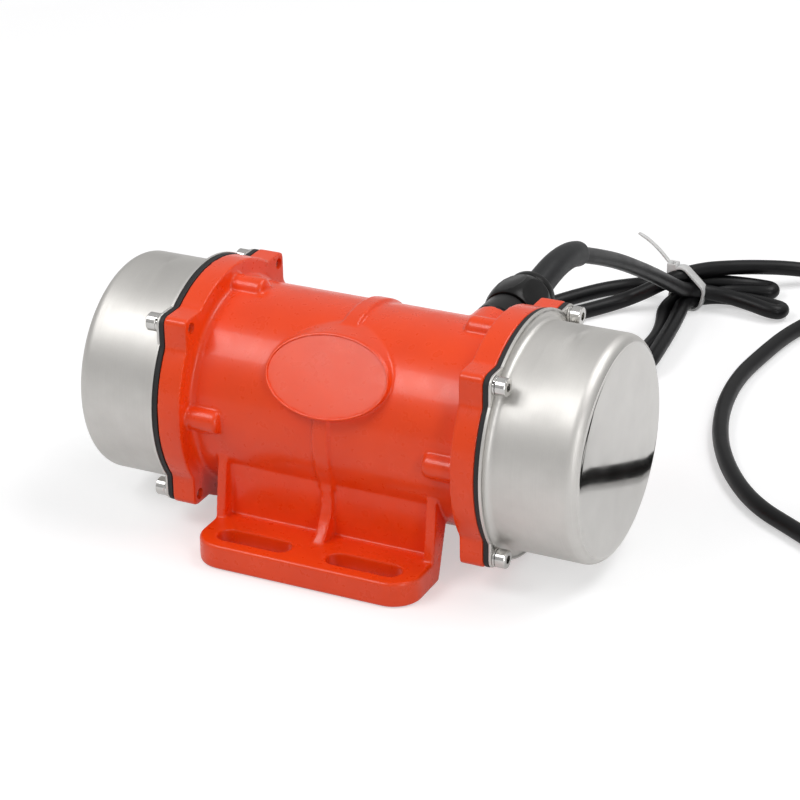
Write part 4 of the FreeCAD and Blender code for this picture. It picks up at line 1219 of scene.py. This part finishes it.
@dataclass
class CoverScrews:
    """Socket head screws with split washers, four at each end."""

    paint: Paintbox
    seat_x: float = 67.2
    washer_t: float = 1.1
    washer_r: float = 3.6
    washer_play: float = 0.1
    washer_edge_r: float = 0.12
    washer_steps: int = 48
    socket_af: float = 3.0
    socket_depth: float = 2.0
    shank_r: float = 1.95
    root_r: float = 1.6
    point: float = 0.3
    length: float = 12.5
    threaded: float = 0.6
    plain: float = 0.38
    pitch: float = 0.7
    crest: Pair = (0.42, 0.58)
    screw_half: float = 34.0
    bore_r: float = 2.15
    split_deg: float = 12.0
    split_rise: float = 0.18
    lap: float = 0.5
    turns: tuple[float, ...] = (33.0, 141.0, 84.0, 15.0)

    def screw(self) -> Piece:
        """One screw, head seat at the origin, head towards +X.

        Returns:
            The screw.
        """
        tip = -self.length
        profile = SCREW_HEAD + [(tip, 0.0), (tip, self.root_r - self.point)]
        for step in range(int(self.length * self.threaded / self.pitch)):
            along = tip + self.point + step * self.pitch
            crest = [(along + self.pitch * share, self.shank_r) for share in self.crest]
            profile += [(along, self.root_r), *crest]
        profile += [(tip * self.plain, self.shank_r), (0.0, self.shank_r)]
        screw = spun("cover_screw", profile, Vector(), X_AXIS, 48)
        corner = self.socket_af / math.sqrt(3)
        above = X_AXIS * (SCREW_HEAD[-1][0] + self.lap)
        hexagon = arc_points(above, Y_AXIS, Z_AXIS, corner, 0, 300, 6)
        socket = extruded("socket", hexagon, -X_AXIS * (self.socket_depth + self.lap))
        return smooth(combined(screw, [socket], Join.CUT), 28.0)

    def washer(self) -> Piece:
        """One split washer, its two ends a little apart.

        Returns:
            The washer, its lower face near the origin.
        """
        rings = []
        for step in range(self.washer_steps + 1):
            share = step / self.washer_steps
            angle = math.radians(self.split_deg / 2 + (360 - self.split_deg) * share)
            out = Y_AXIS * math.cos(angle) + Z_AXIS * math.sin(angle)
            lift = self.split_rise * (share - 0.5)
            low, high = self.washer_play + lift, self.washer_t - self.washer_play + lift
            section = ((low, self.bore_r), (high, self.bore_r), (high, self.washer_r), (low, self.washer_r))
            rings.append([out * r + X_AXIS * x for x, r in section])
        return smooth(rounded(lofted("spring_washer", rings), self.washer_edge_r, 2), 40.0)

    def build(self) -> None:
        """Place all screws and washers as two pieces."""
        for make, name, node, x in (
            (self.washer, "spring_washer_set", "spring_washers", self.seat_x),
            (self.screw, "cover_screw_set", "cover_screws", self.seat_x + self.washer_t),
        ):
            first = make()
            copies = []
            for turn, (y, z) in zip(self.turns, four_corners(self.screw_half)):
                spin = Matrix.Rotation(math.radians(turn), 4, "X")
                right = copied(first, name, moved(SHAFT + Vector((x, y, z))) @ spin)
                copies += [right, mirrored(right, name)]
            bpy.data.objects.remove(first, do_unlink=True)
            self.paint.dress(grouped(name, copies), "bright_steel", node)


# Sections of the gland's pieces, as Y and radius in millimetres
SEAL_RING = [(21.0, 8.0), (21.0, 9.0), (21.4, 9.3), (21.8, 9.0), (21.8, 8.0)]
COLLAR = [
    (18.0, 4.2), (18.0, 7.9), (21.8, 7.9), (21.8, 8.8), (22.4, 9.4), (33.1, 9.4), (34.0, 9.2),
    (34.6, 8.5), (34.6, 7.2), (42.6, 7.2), (42.6, 6.7), (34.6, 6.7), (34.6, 4.2),
]
DOME = [
    (34.1, 0.0), (34.1, 9.6), (35.0, 10.1), (36.6, 10.7), (39.3, 11.2), (41.8, 11.45),
    (44.3, 11.55), (47.8, 11.4), (50.8, 10.8), (53.6, 9.6), (53.6, 0.0),
]
RIM = [
    (53.0, 7.0), (53.0, 9.25), (53.4, 9.75), (53.9, 9.95), (56.4, 9.95), (56.95, 9.75),
    (57.25, 9.3), (57.3, 8.75), (57.3, 7.0),
]


@dataclass
class Gland:
    """Cable gland: seal, collar, and a faceted dome nut with a round rim."""

    paint: Paintbox
    x: float = 41.8
    z: float = 77.5
    nut_y: float = 34.6
    rim_y: float = 53.4
    end_y: float = 57.3
    flats: float = 20.6
    facet_edge_r: float = 0.7
    bore_r: float = 5.85
    thread_r: float = 7.35
    thread_length: float = 8.1
    lap: float = 1.0

    def on_line(self, y: float) -> Vector:
        """Point on the gland's line."""
        return Vector((self.x, y, self.z))

    def turned(self, name: str, profile: list[Pair], steps: int = 96) -> Piece:
        """Solid of revolution about the gland's line."""
        return spun(name, profile, self.on_line(0.0), Y_AXIS, steps)

    def nut(self) -> Piece:
        """Nut whose facets run into a dome at one end and a round rim at the other.

        Returns:
            The nut.
        """
        corner = self.flats / math.sqrt(3)
        points = arc_points(self.on_line(self.nut_y), X_AXIS, Z_AXIS, corner, 15, 315, 6)
        hexagon = extruded("gland_nut_shell", points, Y_AXIS * (self.rim_y - self.nut_y))
        nut = rounded(hexagon, self.facet_edge_r)
        combined(nut, [self.turned("bulge", DOME, 128)], Join.KEEP)
        combined(nut, [self.turned("rim", RIM, 128)], Join.ADD)
        below = self.on_line(self.nut_y - self.lap)
        bore = rod("bore", below, self.on_line(self.end_y + self.lap), self.bore_r)
        thread = rod("thread", below, self.on_line(self.nut_y + self.thread_length), self.thread_r)
        return smooth(combined(nut, [bore, thread], Join.CUT), 24.0)

    def build(self) -> None:
        """All pieces of the gland."""
        collar = smooth(self.turned("gland_collar", COLLAR))
        self.paint.dress(collar, "gland_nylon", "gland_body")
        self.paint.dress(self.nut(), "gland_nylon", "gland_nut")
        seal = smooth(self.turned("gland_seal_ring", SEAL_RING))
        self.paint.dress(seal, "gasket_rubber", "gland_washer")


# Route of the cable's middle, in millimetres
SLEEVE: list[Triple] = [  # Inside the bend sleeve
    (41.8, 57.3, 77.5), (41.8, 68.0, 79.6), (41.8, 80.0, 81.0),
    (41.8, 92.0, 80.3), (41.8, 102.0, 77.8), (41.8, 111.5, 73.4),
]
LEAD: list[Triple] = [  # From the sleeve down to the hank's tie
    (41.9, 127.0, 66.8), (42.0, 147.0, 57.6), (42.1, 170.0, 45.6),
    (41.9, 192.0, 33.7), (41.6, 211.5, 22.6), (41.0, 226.0, 14.4),
]
FRONT_LOOP: list[Triple] = [  # Hank, loop towards the front right
    (40.9, 236.2, 10.0), (47.5, 241.0, 8.4), (57.5, 243.0, 7.0), (68.0, 242.0, 5.9),
    (77.5, 240.0, 4.8), (82.0, 241.2, 4.2), (82.2, 246.8, 3.6), (76.0, 248.6, 3.4),
    (66.0, 250.2, 3.4), (54.5, 250.0, 3.6), (46.7, 244.6, 4.4),
]
NEAR_LOOP: list[Triple] = [  # Hank, loop towards the motor
    (41.5, 236.5, 4.6), (40.8, 229.0, 5.2), (43.5, 219.0, 6.6), (46.0, 206.0, 7.4),
    (48.2, 190.0, 7.4), (49.6, 176.0, 7.0), (50.2, 166.0, 6.0), (48.6, 158.0, 4.8),
    (44.0, 157.0, 3.8), (41.6, 165.0, 3.4), (42.2, 180.0, 3.4), (41.8, 198.0, 3.4),
    (38.2, 213.0, 3.4), (33.6, 226.0, 3.4),
]
REAR_LOOP: list[Triple] = [  # Hank, loop towards the rear right
    (35.7, 240.8, 4.5), (42.5, 249.0, 3.5), (51.0, 256.0, 3.4), (60.0, 259.8, 3.4),
    (67.0, 261.0, 3.4), (71.4, 263.2, 3.5), (70.4, 267.0, 3.6), (64.5, 266.8, 3.8),
    (56.5, 263.4, 5.0), (47.0, 255.6, 7.6),
]
LEFT_LOOP: list[Triple] = [  # Hank, loop towards the left
    (35.7, 242.0, 10.0), (30.0, 244.4, 8.6), (23.0, 244.8, 6.8), (13.0, 242.4, 5.2),
    (3.1, 234.5, 4.8), (-4.9, 223.6, 4.6), (-12.0, 213.0, 4.2), (-16.5, 204.5, 3.6),
    (-14.5, 198.0, 3.4), (-7.5, 198.0, 3.4), (-1.0, 204.5, 3.4), (4.0, 212.0, 3.4),
    (9.5, 220.0, 3.6), (16.4, 227.0, 5.2), (23.5, 229.0, 9.0), (30.0, 231.5, 13.0),
]
RUN: list[Triple] = [  # From the tie along the ground to the coil
    (37.6, 238.0, 16.0), (43.0, 249.0, 15.2), (50.0, 259.0, 13.5), (60.5, 270.5, 11.3),
    (74.0, 283.0, 8.2), (90.0, 291.5, 4.8), (106.0, 288.0, 3.5), (113.5, 273.5, 3.4),
    (108.5, 257.5, 3.4), (98.5, 241.5, 3.4), (92.4, 221.0, 3.4), (89.6, 198.0, 3.4),
    (87.6, 171.0, 3.4), (91.4, 141.0, 3.4), (100.5, 111.5, 3.4), (114.5, 85.0, 3.4),
    (132.0, 63.5, 3.4), (152.5, 50.5, 3.4), (171.0, 38.5, 3.4), (187.0, 30.4, 3.4),
]


@dataclass
class Cable:
    """Free cable: bend sleeve, hank, run on the ground, coil and plug."""

    paint: Paintbox
    diameter: float = 6.7
    coil_centre: Pair = (201.0, 65.5)
    coil_mid_r: float = 36.0
    coil_turns: float = 3.25
    points_a_turn: int = 16
    exit_deg: float = 0.0
    tie_deg: float = 190.0
    tail_points: Triple = (10.0, 22.0, 35.0)
    sleeve_start: Pair = (52.4, 55.0)
    sleeve_tip_y: float = 103.0
    sleeve_r: Pair = (5.7, 5.1)
    tip_round: float = 1.4
    ease_from: float = 0.78
    declared_length: float = 1.875

    def coil_points(self) -> list[Triple]:
        """Turns of the coil: outer and inner ring below, inner and outer ring above.

        Returns:
            Points of the route, from the run to the tail.
        """
        half = self.diameter / 2
        rings = [(1, half), (-1, half), (-1, 3 * half), (1, 3 * half)]
        count = round(self.coil_turns * self.points_a_turn)
        swell = 1.0 / math.cos(math.pi / self.points_a_turn)
        points = []
        for step in range(count + 1):
            share = step / count * (len(rings) - 0.001)
            ring = int(share)
            ease = max(0.0, (share - ring - self.ease_from) / (1 - self.ease_from))
            ease = ease * ease * (3 - 2 * ease)
            here, after = rings[ring], rings[min(ring + 1, len(rings) - 1)]
            r = self.coil_mid_r + half * (here[0] + (after[0] - here[0]) * ease)
            z = here[1] + (after[1] - here[1]) * ease
            out = heading(self.exit_deg - 360.0 * self.coil_turns * (1 - step / count))[0]
            points.append(tuple(self.middle() + out * (r * swell) + Z_AXIS * z))
        return points

    def middle(self) -> Vector:
        """Middle of the coil on the ground."""
        return Vector((*self.coil_centre, 0.0))

    def tail_frame(self) -> tuple[Vector, Vector, Vector]:
        """Start, heading and side direction of the stretch from the coil to the plug.

        Returns:
            The start in millimetres and the two unit directions.
        """
        side, ahead = heading(self.exit_deg)
        start = self.middle() + side * (self.coil_mid_r + self.diameter / 2)
        return start + Z_AXIS * (1.5 * self.diameter), ahead, side

    def route(self) -> list[Triple]:
        """All points from the gland to the plug's strain relief.

        Returns:
            The points in order.
        """
        start, ahead, _ = self.tail_frame()
        tail = [tuple(start + ahead * along) for along in self.tail_points]
        hank = FRONT_LOOP + NEAR_LOOP + REAR_LOOP + LEFT_LOOP
        return SLEEVE + LEAD + hank + RUN + self.coil_points() + tail

    def spline(self, name: str, radius: float) -> Piece:
        """The whole route as one smooth curve.

        Args:
            name: Name of the curve.
            radius: Radius of its round section in millimetres, or 0 for a bare line.

        Returns:
            The curve object.
        """
        route = self.route()
        data = bpy.data.curves.new(name, "CURVE")
        data.dimensions = "3D"
        data.resolution_u = 10
        data.bevel_depth = radius * MM
        data.bevel_resolution = 7
        data.use_fill_caps = radius > 0
        line = data.splines.new("NURBS")
        line.points.add(len(route) - 1)
        for point, place in zip(line.points, route):
            point.co = (*(Vector(place) * MM), 1.0)
        line.order_u = 3
        line.use_endpoint_u = True
        return placed(name, data)

    def centre_line(self) -> list[Vector]:
        """Points of the route's smooth line, in millimetres.

        Returns:
            The points, close together.
        """
        bare = self.spline("bare_route", 0.0)
        bpy.context.view_layer.update()
        mesh = bpy.data.meshes.new_from_object(bare)
        points = [vertex.co / MM for vertex in mesh.vertices]
        bpy.data.meshes.remove(mesh)
        bpy.data.objects.remove(bare, do_unlink=True)
        return points

    def sleeve(self) -> Piece:
        """Tapered bend sleeve with a rounded lip, round the first stretch of the cable.

        Returns:
            The dressed sleeve.
        """
        route = self.centre_line()
        reach = next(i for i, point in enumerate(route) if point.y > self.sleeve_tip_y)
        line = [Vector((route[0].x, y, route[0].z)) for y in self.sleeve_start] + route[:reach]
        spans = [0.0]
        for a, b in zip(line, line[1:]):
            spans.append(spans[-1] + (b - a).length)
        root_r, tip_r = self.sleeve_r
        rings = []
        for i, point in enumerate(line):
            ahead = (line[min(i + 1, len(line) - 1)] - line[max(i - 1, 0)]).normalized()
            rings.append((point, ahead, root_r + (tip_r - root_r) * spans[i] / spans[-1]))
        tip, ahead, r = rings[-1]
        curve = self.tip_round
        rings += [(tip + ahead * (curve * s), ahead, r - curve * (1 - c)) for c, s in quarter(6, 1)]
        loops = []
        for point, ahead, r in rings:
            up = X_AXIS.cross(ahead).normalized()
            loops.append(arc_points(point, X_AXIS, up, r, 0, 352.5, 48))
        piece = smooth(lofted("bend_sleeve_boot", loops), 40.0)
        return self.paint.dress(piece, "sleeve_rubber", "bend_sleeve")

    def build(self, tie: Piece, coil_tie: Piece, plug: list[Piece]) -> None:
        """The cable itself and its bend sleeve.

        Args:
            tie: The tie round the hank; not used.
            coil_tie: The tie round the coil; not used.
            plug: The plug's pieces; not used.
        """
        sleeve = self.sleeve()
        cable = self.spline("power_cable", self.diameter / 2)
        nodes = ("cable_lead", "cable_hank", "cable_run", "cable_coil", "cable_tail")
        self.paint.dress(cable, "cable_sheath", *nodes)
        line = self.centre_line()
        LOG.info("cable length %.0f mm", sum((b - a).length for a, b in zip(line, line[1:])))


@dataclass
class Ties:
    """Cable ties round the hank's waist and across the coil."""

    paint: Paintbox
    waist: Pair = (39.5, 238.5)
    heading_deg: float = 88.0
    strands: tuple[Pair, ...] = ((-4.6, 9.2), (-3.4, 4.6), (3.3, 4.2), (2.2, 15.5))
    width: float = 4.8
    thickness: float = 1.15
    gap: float = 0.12
    strap_steps: int = 96
    edge_r: float = 0.3
    head_edge_r: float = 0.4
    slot_share: Triple = (0.3, 0.18, 0.35)
    hank_head: Pair = (6.6, 16.0)
    hank_head_size: Triple = (5.2, 4.4, 5.0)
    coil_head: Pair = (2.4, -0.1)
    coil_head_size: Triple = (4.6, 5.2, 3.4)
    coil_slack: float = 1.3
    tail_start: Pair = (1.2, 4.0)
    tail_reach: Triple = (-15.6, 0.0, 12.4)
    tail_curl: float = 1.6
    tail_steps: int = 24
    tail_width_share: float = 0.22
    tail_half_t: float = 0.32
    tooth: float = 0.1
    taper_from: float = 0.85
    taper: float = 2.6
    strand_steps: int = 72
    cable_r: float = 3.35

    def band(
        self, name: str, centres: Sequence[Pair], origin: Vector, along: Vector, across: Vector
    ) -> Piece:
        """Flat strap pulled round parallel strands.

        Args:
            name: Name of the piece.
            centres: Strand centres as offset across and height, in millimetres.
            origin: Point on the ground from which the offsets run.
            along: Unit direction of the strands.
            across: Unit direction across them.

        Returns:
            The strap.
        """
        r = self.cable_r + self.gap
        cloud = []
        for v, z in centres:
            for step in range(self.strand_steps):
                angle = FULL_TURN * step / self.strand_steps
                cloud.append((v + r * math.cos(angle), z + r * math.sin(angle)))
        hull = self.hull(cloud)
        v, z = (sum(part) / len(hull) for part in zip(*hull))
        inside = origin + across * v + Z_AXIS * z
        start = origin - along * (self.width / 2)
        points = [start + across * v + Z_AXIS * z for v, z in self.evened(hull, self.strap_steps)]
        strap = extruded(name, points, along * self.width, False)
        face = strap.data.polygons[0]
        outward = 1.0 if face.normal.dot(face.center - inside * MM) > 0 else -1.0
        applied(strap, "SOLIDIFY", thickness=self.thickness * MM, offset=outward)
        return rounded(strap, self.edge_r, degrees=60.0)

    @staticmethod
    def hull(cloud: list[Pair]) -> list[Pair]:
        """Convex outline of points in a plane.

        Args:
            cloud: The points.

        Returns:
            Its corners, counter-clockwise.
        """
        ordered = sorted(set((round(a, 4), round(b, 4)) for a, b in cloud))
        halves = []
        for sequence in (ordered, ordered[::-1]):
            chain = []
            for p in sequence:
                while len(chain) > 1:
                    (ax, ay), (bx, by) = chain[-2], chain[-1]
                    if (bx - ax) * (p[1] - ay) - (by - ay) * (p[0] - ax) > 0:
                        break
                    chain.pop()
                chain.append(p)
            halves += chain[:-1]
        return halves

    @staticmethod
    def evened(loop: list[Pair], count: int) -> list[Pair]:
        """Points at even distances along a closed line.

        Args:
            loop: Corners of the line.
            count: Number of points.

        Returns:
            The points, from the first corner on.
        """
        closed = loop + loop[:1]
        lengths = [math.dist(a, b) for a, b in zip(closed, closed[1:])]
        step, points, walked, i = sum(lengths) / count, [], 0.0, 0
        for k in range(count):
            goal = k * step
            while walked + lengths[i] < goal:
                walked += lengths[i]
                i += 1
            share = (goal - walked) / lengths[i]
            a, b = closed[i], closed[i + 1]
            points.append((a[0] + (b[0] - a[0]) * share, a[1] + (b[1] - a[1]) * share))
        return points

    def head(self, name: str, place: Vector, along: Vector, across: Vector, size: Triple) -> Piece:
        """Square lock head with a slot.

        Args:
            name: Name of the piece.
            place: Middle of its foot.
            along: Unit direction of the strands.
            across: Unit direction across them.
            size: Length along, width across and height.

        Returns:
            The head.
        """
        a, b, h = size
        corners = [(-a, -b), (a, -b), (a, b), (-a, b)]
        points = [place + along * (x / 2) + across * (y / 2) for x, y in corners]
        head = extruded(name, points, Z_AXIS * h)
        long, wide, deep = self.slot_share
        foot = place + Z_AXIS * (h * deep)
        slot = [foot + along * (x * long) + across * (y * wide) for x, y in corners]
        combined(head, [extruded("slot", slot, Z_AXIS * h)], Join.CUT)
        return rounded(head, self.head_edge_r)

    def tail(self, name: str, start: Vector, reach: Vector, side: Vector) -> Piece:
        """Loose end of a tie: a thin toothed strip that curls a little.

        Args:
            name: Name of the piece.
            start: Where it leaves the head.
            reach: From there to its tip.
            side: Unit direction across its width.

        Returns:
            The strip.
        """
        rings = []
        for step in range(self.tail_steps + 1):
            share = step / self.tail_steps
            middle = start + reach * share + Z_AXIS * (self.tail_curl * math.sin(math.pi * share))
            taper = 1.0 - max(0.0, share - self.taper_from) * self.taper
            rise = self.tail_curl * math.pi * math.cos(math.pi * share)
            up = (reach + Z_AXIS * rise).normalized().cross(side).normalized()
            wide = side * (self.width * self.tail_width_share * taper)
            thick = up * (self.tail_half_t + self.tooth * (step % 2))
            rings.append([middle + wide * s + thick * t for s, t in ((-1, -1), (1, -1), (1, 1), (-1, 1))])
        return lofted(name, rings)

    def hank_tie(self) -> Piece:
        """Tie round the strands of the hank.

        Returns:
            The dressed tie.
        """
        along, across = heading(self.heading_deg)
        origin = Vector((*self.waist, 0.0))
        strap = self.band("strap", self.strands, origin, along, across)
        place = origin + across * self.hank_head[0] + Z_AXIS * self.hank_head[1]
        head = self.head("head", place, along, across, self.hank_head_size)
        start = place + across * self.tail_start[0] + Z_AXIS * self.tail_start[1]
        tail = self.tail("tail", start, Vector(self.tail_reach), across.cross(Z_AXIS).normalized())
        piece = smooth(grouped("hank_tie_band", [strap, head, tail]))
        return self.paint.dress(piece, "tie_nylon", "hank_tie")

    def coil_tie(self, centre: Pair, mid_r: float, place_deg: float) -> Piece:
        """Tie across the coil's ring of four turns.

        Args:
            centre: Middle of the coil.
            mid_r: Radius of the middle of its turns.
            place_deg: Where on the ring it sits, as an angle from X.

        Returns:
            The tie.
        """
        out, along = heading(place_deg)
        origin = Vector((*centre, 0.0)) + out * mid_r
        r = self.cable_r
        strands = [(-r, r + self.coil_slack), (r, r + self.coil_slack), (-r, 3 * r), (r, 3 * r)]
        strap = self.band("strap", strands, origin, along, out)
        place = origin + out * self.coil_head[0] + Z_AXIS * (4 * r + self.coil_head[1])
        head = self.head("head", place, along, out, self.coil_head_size)
        piece = smooth(grouped("coil_tie_band", [strap, head]))
        return self.paint.dress(piece, "tie_nylon", "coil_tie")


# One rib of the plug's strain relief: distance along it and rise
RELIEF_RIB = ((0.0, 0.0), (0.4, 0.25), (2.0, 0.3), (2.4, 0.0), (3.0, -0.4))

# Sections of the plug's body: distance along it, half width, half height and squareness
PLUG_BODY = (
    (-0.5, 6.6, 6.2, 2.2), (1.0, 7.8, 7.0, 2.3), (5.0, 8.9, 7.7, 2.5), (10.0, 10.4, 8.5, 2.8),
    (14.0, 11.1, 8.9, 3.0), (15.0, 11.7, 9.2, 3.0), (16.6, 11.7, 9.2, 3.0), (17.6, 11.2, 8.9, 3.2),
    (19.0, 11.2, 8.9, 3.2), (20.0, 11.9, 9.3, 3.3), (21.6, 11.9, 9.3, 3.3), (22.6, 11.5, 9.0, 3.4),
    (24.0, 11.5, 9.0, 3.4), (25.0, 12.6, 9.4, 3.6), (34.0, 13.0, 9.5, 4.0), (36.8, 12.9, 9.4, 4.0),
    (37.7, 12.4, 8.9, 3.8), (38.0, 11.6, 8.2, 3.6),
)

# Section of a plug pin up to its rounded tip: distance from the plug's face and radius
PLUG_PIN = [
    (-1.0, 0.0), (-1.0, 2.4), (0.0, 2.4), (0.2, 2.25), (9.6, 2.25), (9.8, 2.4), (17.2, 2.4),
]


@dataclass
class Plug:
    """Moulded two-pin plug with a ribbed strain relief."""

    paint: Paintbox
    start: Vector
    heading: Vector
    side: Vector
    tail_length: float = 31.0
    relief_length: float = 24.0
    relief_bore_r: float = 3.5
    relief_end_r: Pair = (3.9, 6.3)
    ribs: int = 6
    rib_start: float = 1.5
    rib_pitch: float = 3.7
    rib_r: float = 4.1
    rib_growth: float = 0.33
    body_length: float = 38.0
    lap: float = 0.5
    ring_steps: int = 48
    pin_tip: Pair = (1.8, 1.2)
    pin_pitch: float = 19.0

    def ring(self, along: float, half_w: float, half_h: float, power: float) -> list[Vector]:
        """Rounded section square to the plug's line.

        Args:
            along: Its place on that line.
            half_w: Half its width.
            half_h: Half its height.
            power: How square it is, with 2 for an ellipse.

        Returns:
            Points in order.
        """
        centre = self.start + self.heading * along
        points = []
        for step in range(self.ring_steps):
            angle = FULL_TURN * step / self.ring_steps
            c, s = math.cos(angle), math.sin(angle)
            wide = self.side * (half_w * math.copysign(abs(c) ** (2 / power), c))
            points.append(centre + wide + Z_AXIS * (half_h * math.copysign(abs(s) ** (2 / power), s)))
        return points

    def body(self) -> Piece:
        """Body with waist, grip ribs and rounded face.

        Returns:
            The body with its strain relief.
        """
        neck = self.tail_length + self.relief_length
        body = lofted("body", [self.ring(neck + a, w, h, p) for a, w, h, p in PLUG_BODY])
        bore_r, end = self.relief_bore_r, self.relief_length + self.lap
        profile = [(0.0, bore_r), (0.0, self.relief_end_r[0])]
        for step in range(self.ribs):
            start, r = self.rib_start + step * self.rib_pitch, self.rib_r + self.rib_growth * step
            profile += [(start + along, r + rise) for along, rise in RELIEF_RIB]
        profile += [(end, self.relief_end_r[1]), (end, bore_r)]
        relief = spun("relief", profile, self.start + self.heading * self.tail_length, self.heading, 48)
        return smooth(grouped("plug_moulding_body", [relief, body]), 40.0)

    def pins(self) -> Piece:
        """Two round pins with rounded tips.

        Returns:
            Both pins as one piece.
        """
        face = self.start + self.heading * (self.tail_length + self.relief_length + self.body_length)
        (start, r), (long, wide) = PLUG_PIN[-1], self.pin_tip
        tip = [(start + long * s, r - wide + wide * c) for c, s in quarter(6, 1)]
        profile = PLUG_PIN + tip + [(start + long, 0.0)]
        pins = []
        for offset in (-self.pin_pitch / 2, self.pin_pitch / 2):
            pins.append(spun("pin", profile, face + self.side * offset, self.heading, 40))
        return smooth(grouped("plug_pin_pair", pins))

    def build(self) -> list[Piece]:
        """Both pieces, dressed."""
        kinds = ((self.body, "plug_moulding", "plug_body"), (self.pins, "pin_brass", "plug_pins"))
        return [self.paint.dress(make(), slot, node) for make, slot, node in kinds]


# The studio


@dataclass(frozen=True)
class Lamp:
    """Soft rectangular lamp that faces the motor, its place in metres and its power in watts."""

    name: str
    place: Triple
    size: Pair
    power: float
    target: Triple = (0.03, 0.0, 0.05)

    def hang(self) -> None:
        """Put the lamp in the scene."""
        data = bpy.data.lights.new(self.name, "AREA")
        data.shape = "RECTANGLE"
        data.size, data.size_y = self.size
        data.energy = self.power
        lamp = placed(self.name, data)
        lamp.location = self.place
        lamp.rotation_mode = "QUATERNION"
        lamp.rotation_quaternion = (Vector(self.target) - Vector(self.place)).to_track_quat("-Z", "Y")


@dataclass
class Studio:
    """White sweep, soft lamps and the camera."""

    target: Triple = (13.36, 0.0, 52.39)
    distance: float = 1002.06
    back: Triple = (0.3992, -0.8114, 0.4269)
    right: Triple = (0.9003, 0.4350, -0.0150)
    focal_px: float = 2695.9
    image_px: float = 800.0
    sensor: float = 36.0
    clip: Pair = (0.05, 30.0)
    ambient: float = 0.29
    reflected: float = 0.62
    horizon: Pair = (0.25, 0.65)
    horizon_share: float = 0.80
    paper: Triple = (0.66, 0.66, 0.665)
    floor_size: float = 8.0
    floor_z: float = -0.0002
    floor_glow: float = 0.49
    floor_reflected: float = 0.31
    floor_fade: Pair = (0.7, 1.6)
    far_glow: float = 0.5
    lamps: tuple[Lamp, ...] = (
        Lamp("key_softbox", (-0.81, -0.89, 1.53), (1.15, 0.70), 12.8),
        Lamp("top_softbox", (0.75, 0.5, 1.7), (1.3, 0.8), 15.0),
        Lamp("side_strip", (1.3, -0.9, 0.55), (0.35, 1.0), 5.0),
    )

    def camera(self) -> None:
        """Camera at the fitted place."""
        data = bpy.data.cameras.new("camera")
        data.sensor_width = self.sensor
        data.lens = self.focal_px / self.image_px * self.sensor
        data.clip_start, data.clip_end = self.clip
        camera = placed("camera", data)
        back, right = Vector(self.back).normalized(), Vector(self.right).normalized()
        turn = Matrix((right, back.cross(right).normalized(), back)).transposed().to_4x4()
        place = (Vector(self.target) + back * self.distance) * MM
        camera.matrix_world = Matrix.Translation(place) @ turn
        bpy.context.scene.camera = camera

    def surroundings(self) -> None:
        """White to the camera, and a dimmer sky, darker low down, as light and in reflections."""
        world = bpy.data.worlds.new("surroundings")
        nodes = Nodes(world)
        place = nodes.node("TexCoord", {}).outputs["Generated"]
        height = nodes.node("SeparateXYZ", {"Vector": place}).outputs["Z"]
        low = self.reflected * self.horizon_share
        mirrored_sky = nodes.spread(height, low, self.reflected, *self.horizon)
        skies = []
        for strength in (self.ambient, mirrored_sky, 1.0):
            inputs = {"Color": WHITE, "Strength": strength}
            skies.append(nodes.node("Background", inputs).outputs["Background"])
        inputs = {"Fac": nodes.ray("Glossy"), 1: skies[0], 2: skies[1]}
        unseen = nodes.node("MixShader", inputs).outputs["Shader"]
        seen = nodes.math("MAXIMUM", nodes.ray("Camera"), nodes.ray("Transmission"))
        whole = nodes.node("MixShader", {"Fac": seen, 1: unseen, 2: skies[2]}).outputs["Shader"]
        nodes.node("OutputWorld", {"Surface": whole})
        bpy.context.scene.world = world

    def floor(self) -> None:
        """Pale ground that clips to white in the light and keeps the shadow."""
        clear_selection()
        bpy.ops.mesh.primitive_grid_add(
            x_subdivisions=4, y_subdivisions=4, size=self.floor_size, location=(0, 0, self.floor_z)
        )
        bpy.ops.object.transform_apply(location=True, rotation=True, scale=True)
        ground = bpy.context.object
        ground.name = "ground_sweep"
        material = bpy.data.materials.new("ground_paper")
        nodes = Nodes(material)
        place = nodes.node("TexCoord", {}).outputs["Object"]
        reach = nodes.node("VectorMath", {0: place}, operation="LENGTH").outputs["Value"]
        shares = []
        for kind, glow in (("Camera", self.floor_glow), ("Glossy", self.floor_reflected)):
            far = nodes.spread(reach, glow, glow + self.far_glow, *self.floor_fade)
            shares.append(nodes.math("MULTIPLY", nodes.ray(kind), far))
        inputs = {"Strength": nodes.math("ADD", *shares)}
        light = nodes.node("Emission", inputs).outputs["Emission"]
        paper = nodes.node("BsdfDiffuse", {"Color": (*self.paper, 1.0)}).outputs["BSDF"]
        both = nodes.node("AddShader", {0: paper, 1: light}).outputs["Shader"]
        nodes.node("OutputMaterial", {"Surface": both})
        ground.data.materials.append(material)

    def build(self) -> None:
        """Set the whole studio."""
        bpy.context.scene.view_settings.view_transform = "Standard"
        self.camera()
        self.surroundings()
        self.floor()
        for lamp in self.lamps:
            lamp.hang()


def main() -> None:
    """Build the whole scene in order."""
    logging.basicConfig(level=logging.INFO, format="%(name)s: %(message)s")
    Studio().build()
    paint = Paintbox()
    paint.dress_nodes()
    cable = Cable(paint)
    ties = Ties(paint)
    start, heading, side = cable.tail_frame()
    plug = Plug(paint, start, heading, side).build()
    hank_tie = ties.hank_tie()
    coil_tie = ties.coil_tie(cable.coil_centre, cable.coil_mid_r, cable.tie_deg)
    cable.build(hank_tie, coil_tie, plug)
    for part in (Gland, EndCover, CoverScrews, Casting):
        part(paint).build()
    clear_selection()


if __name__ == "__main__":
    main()
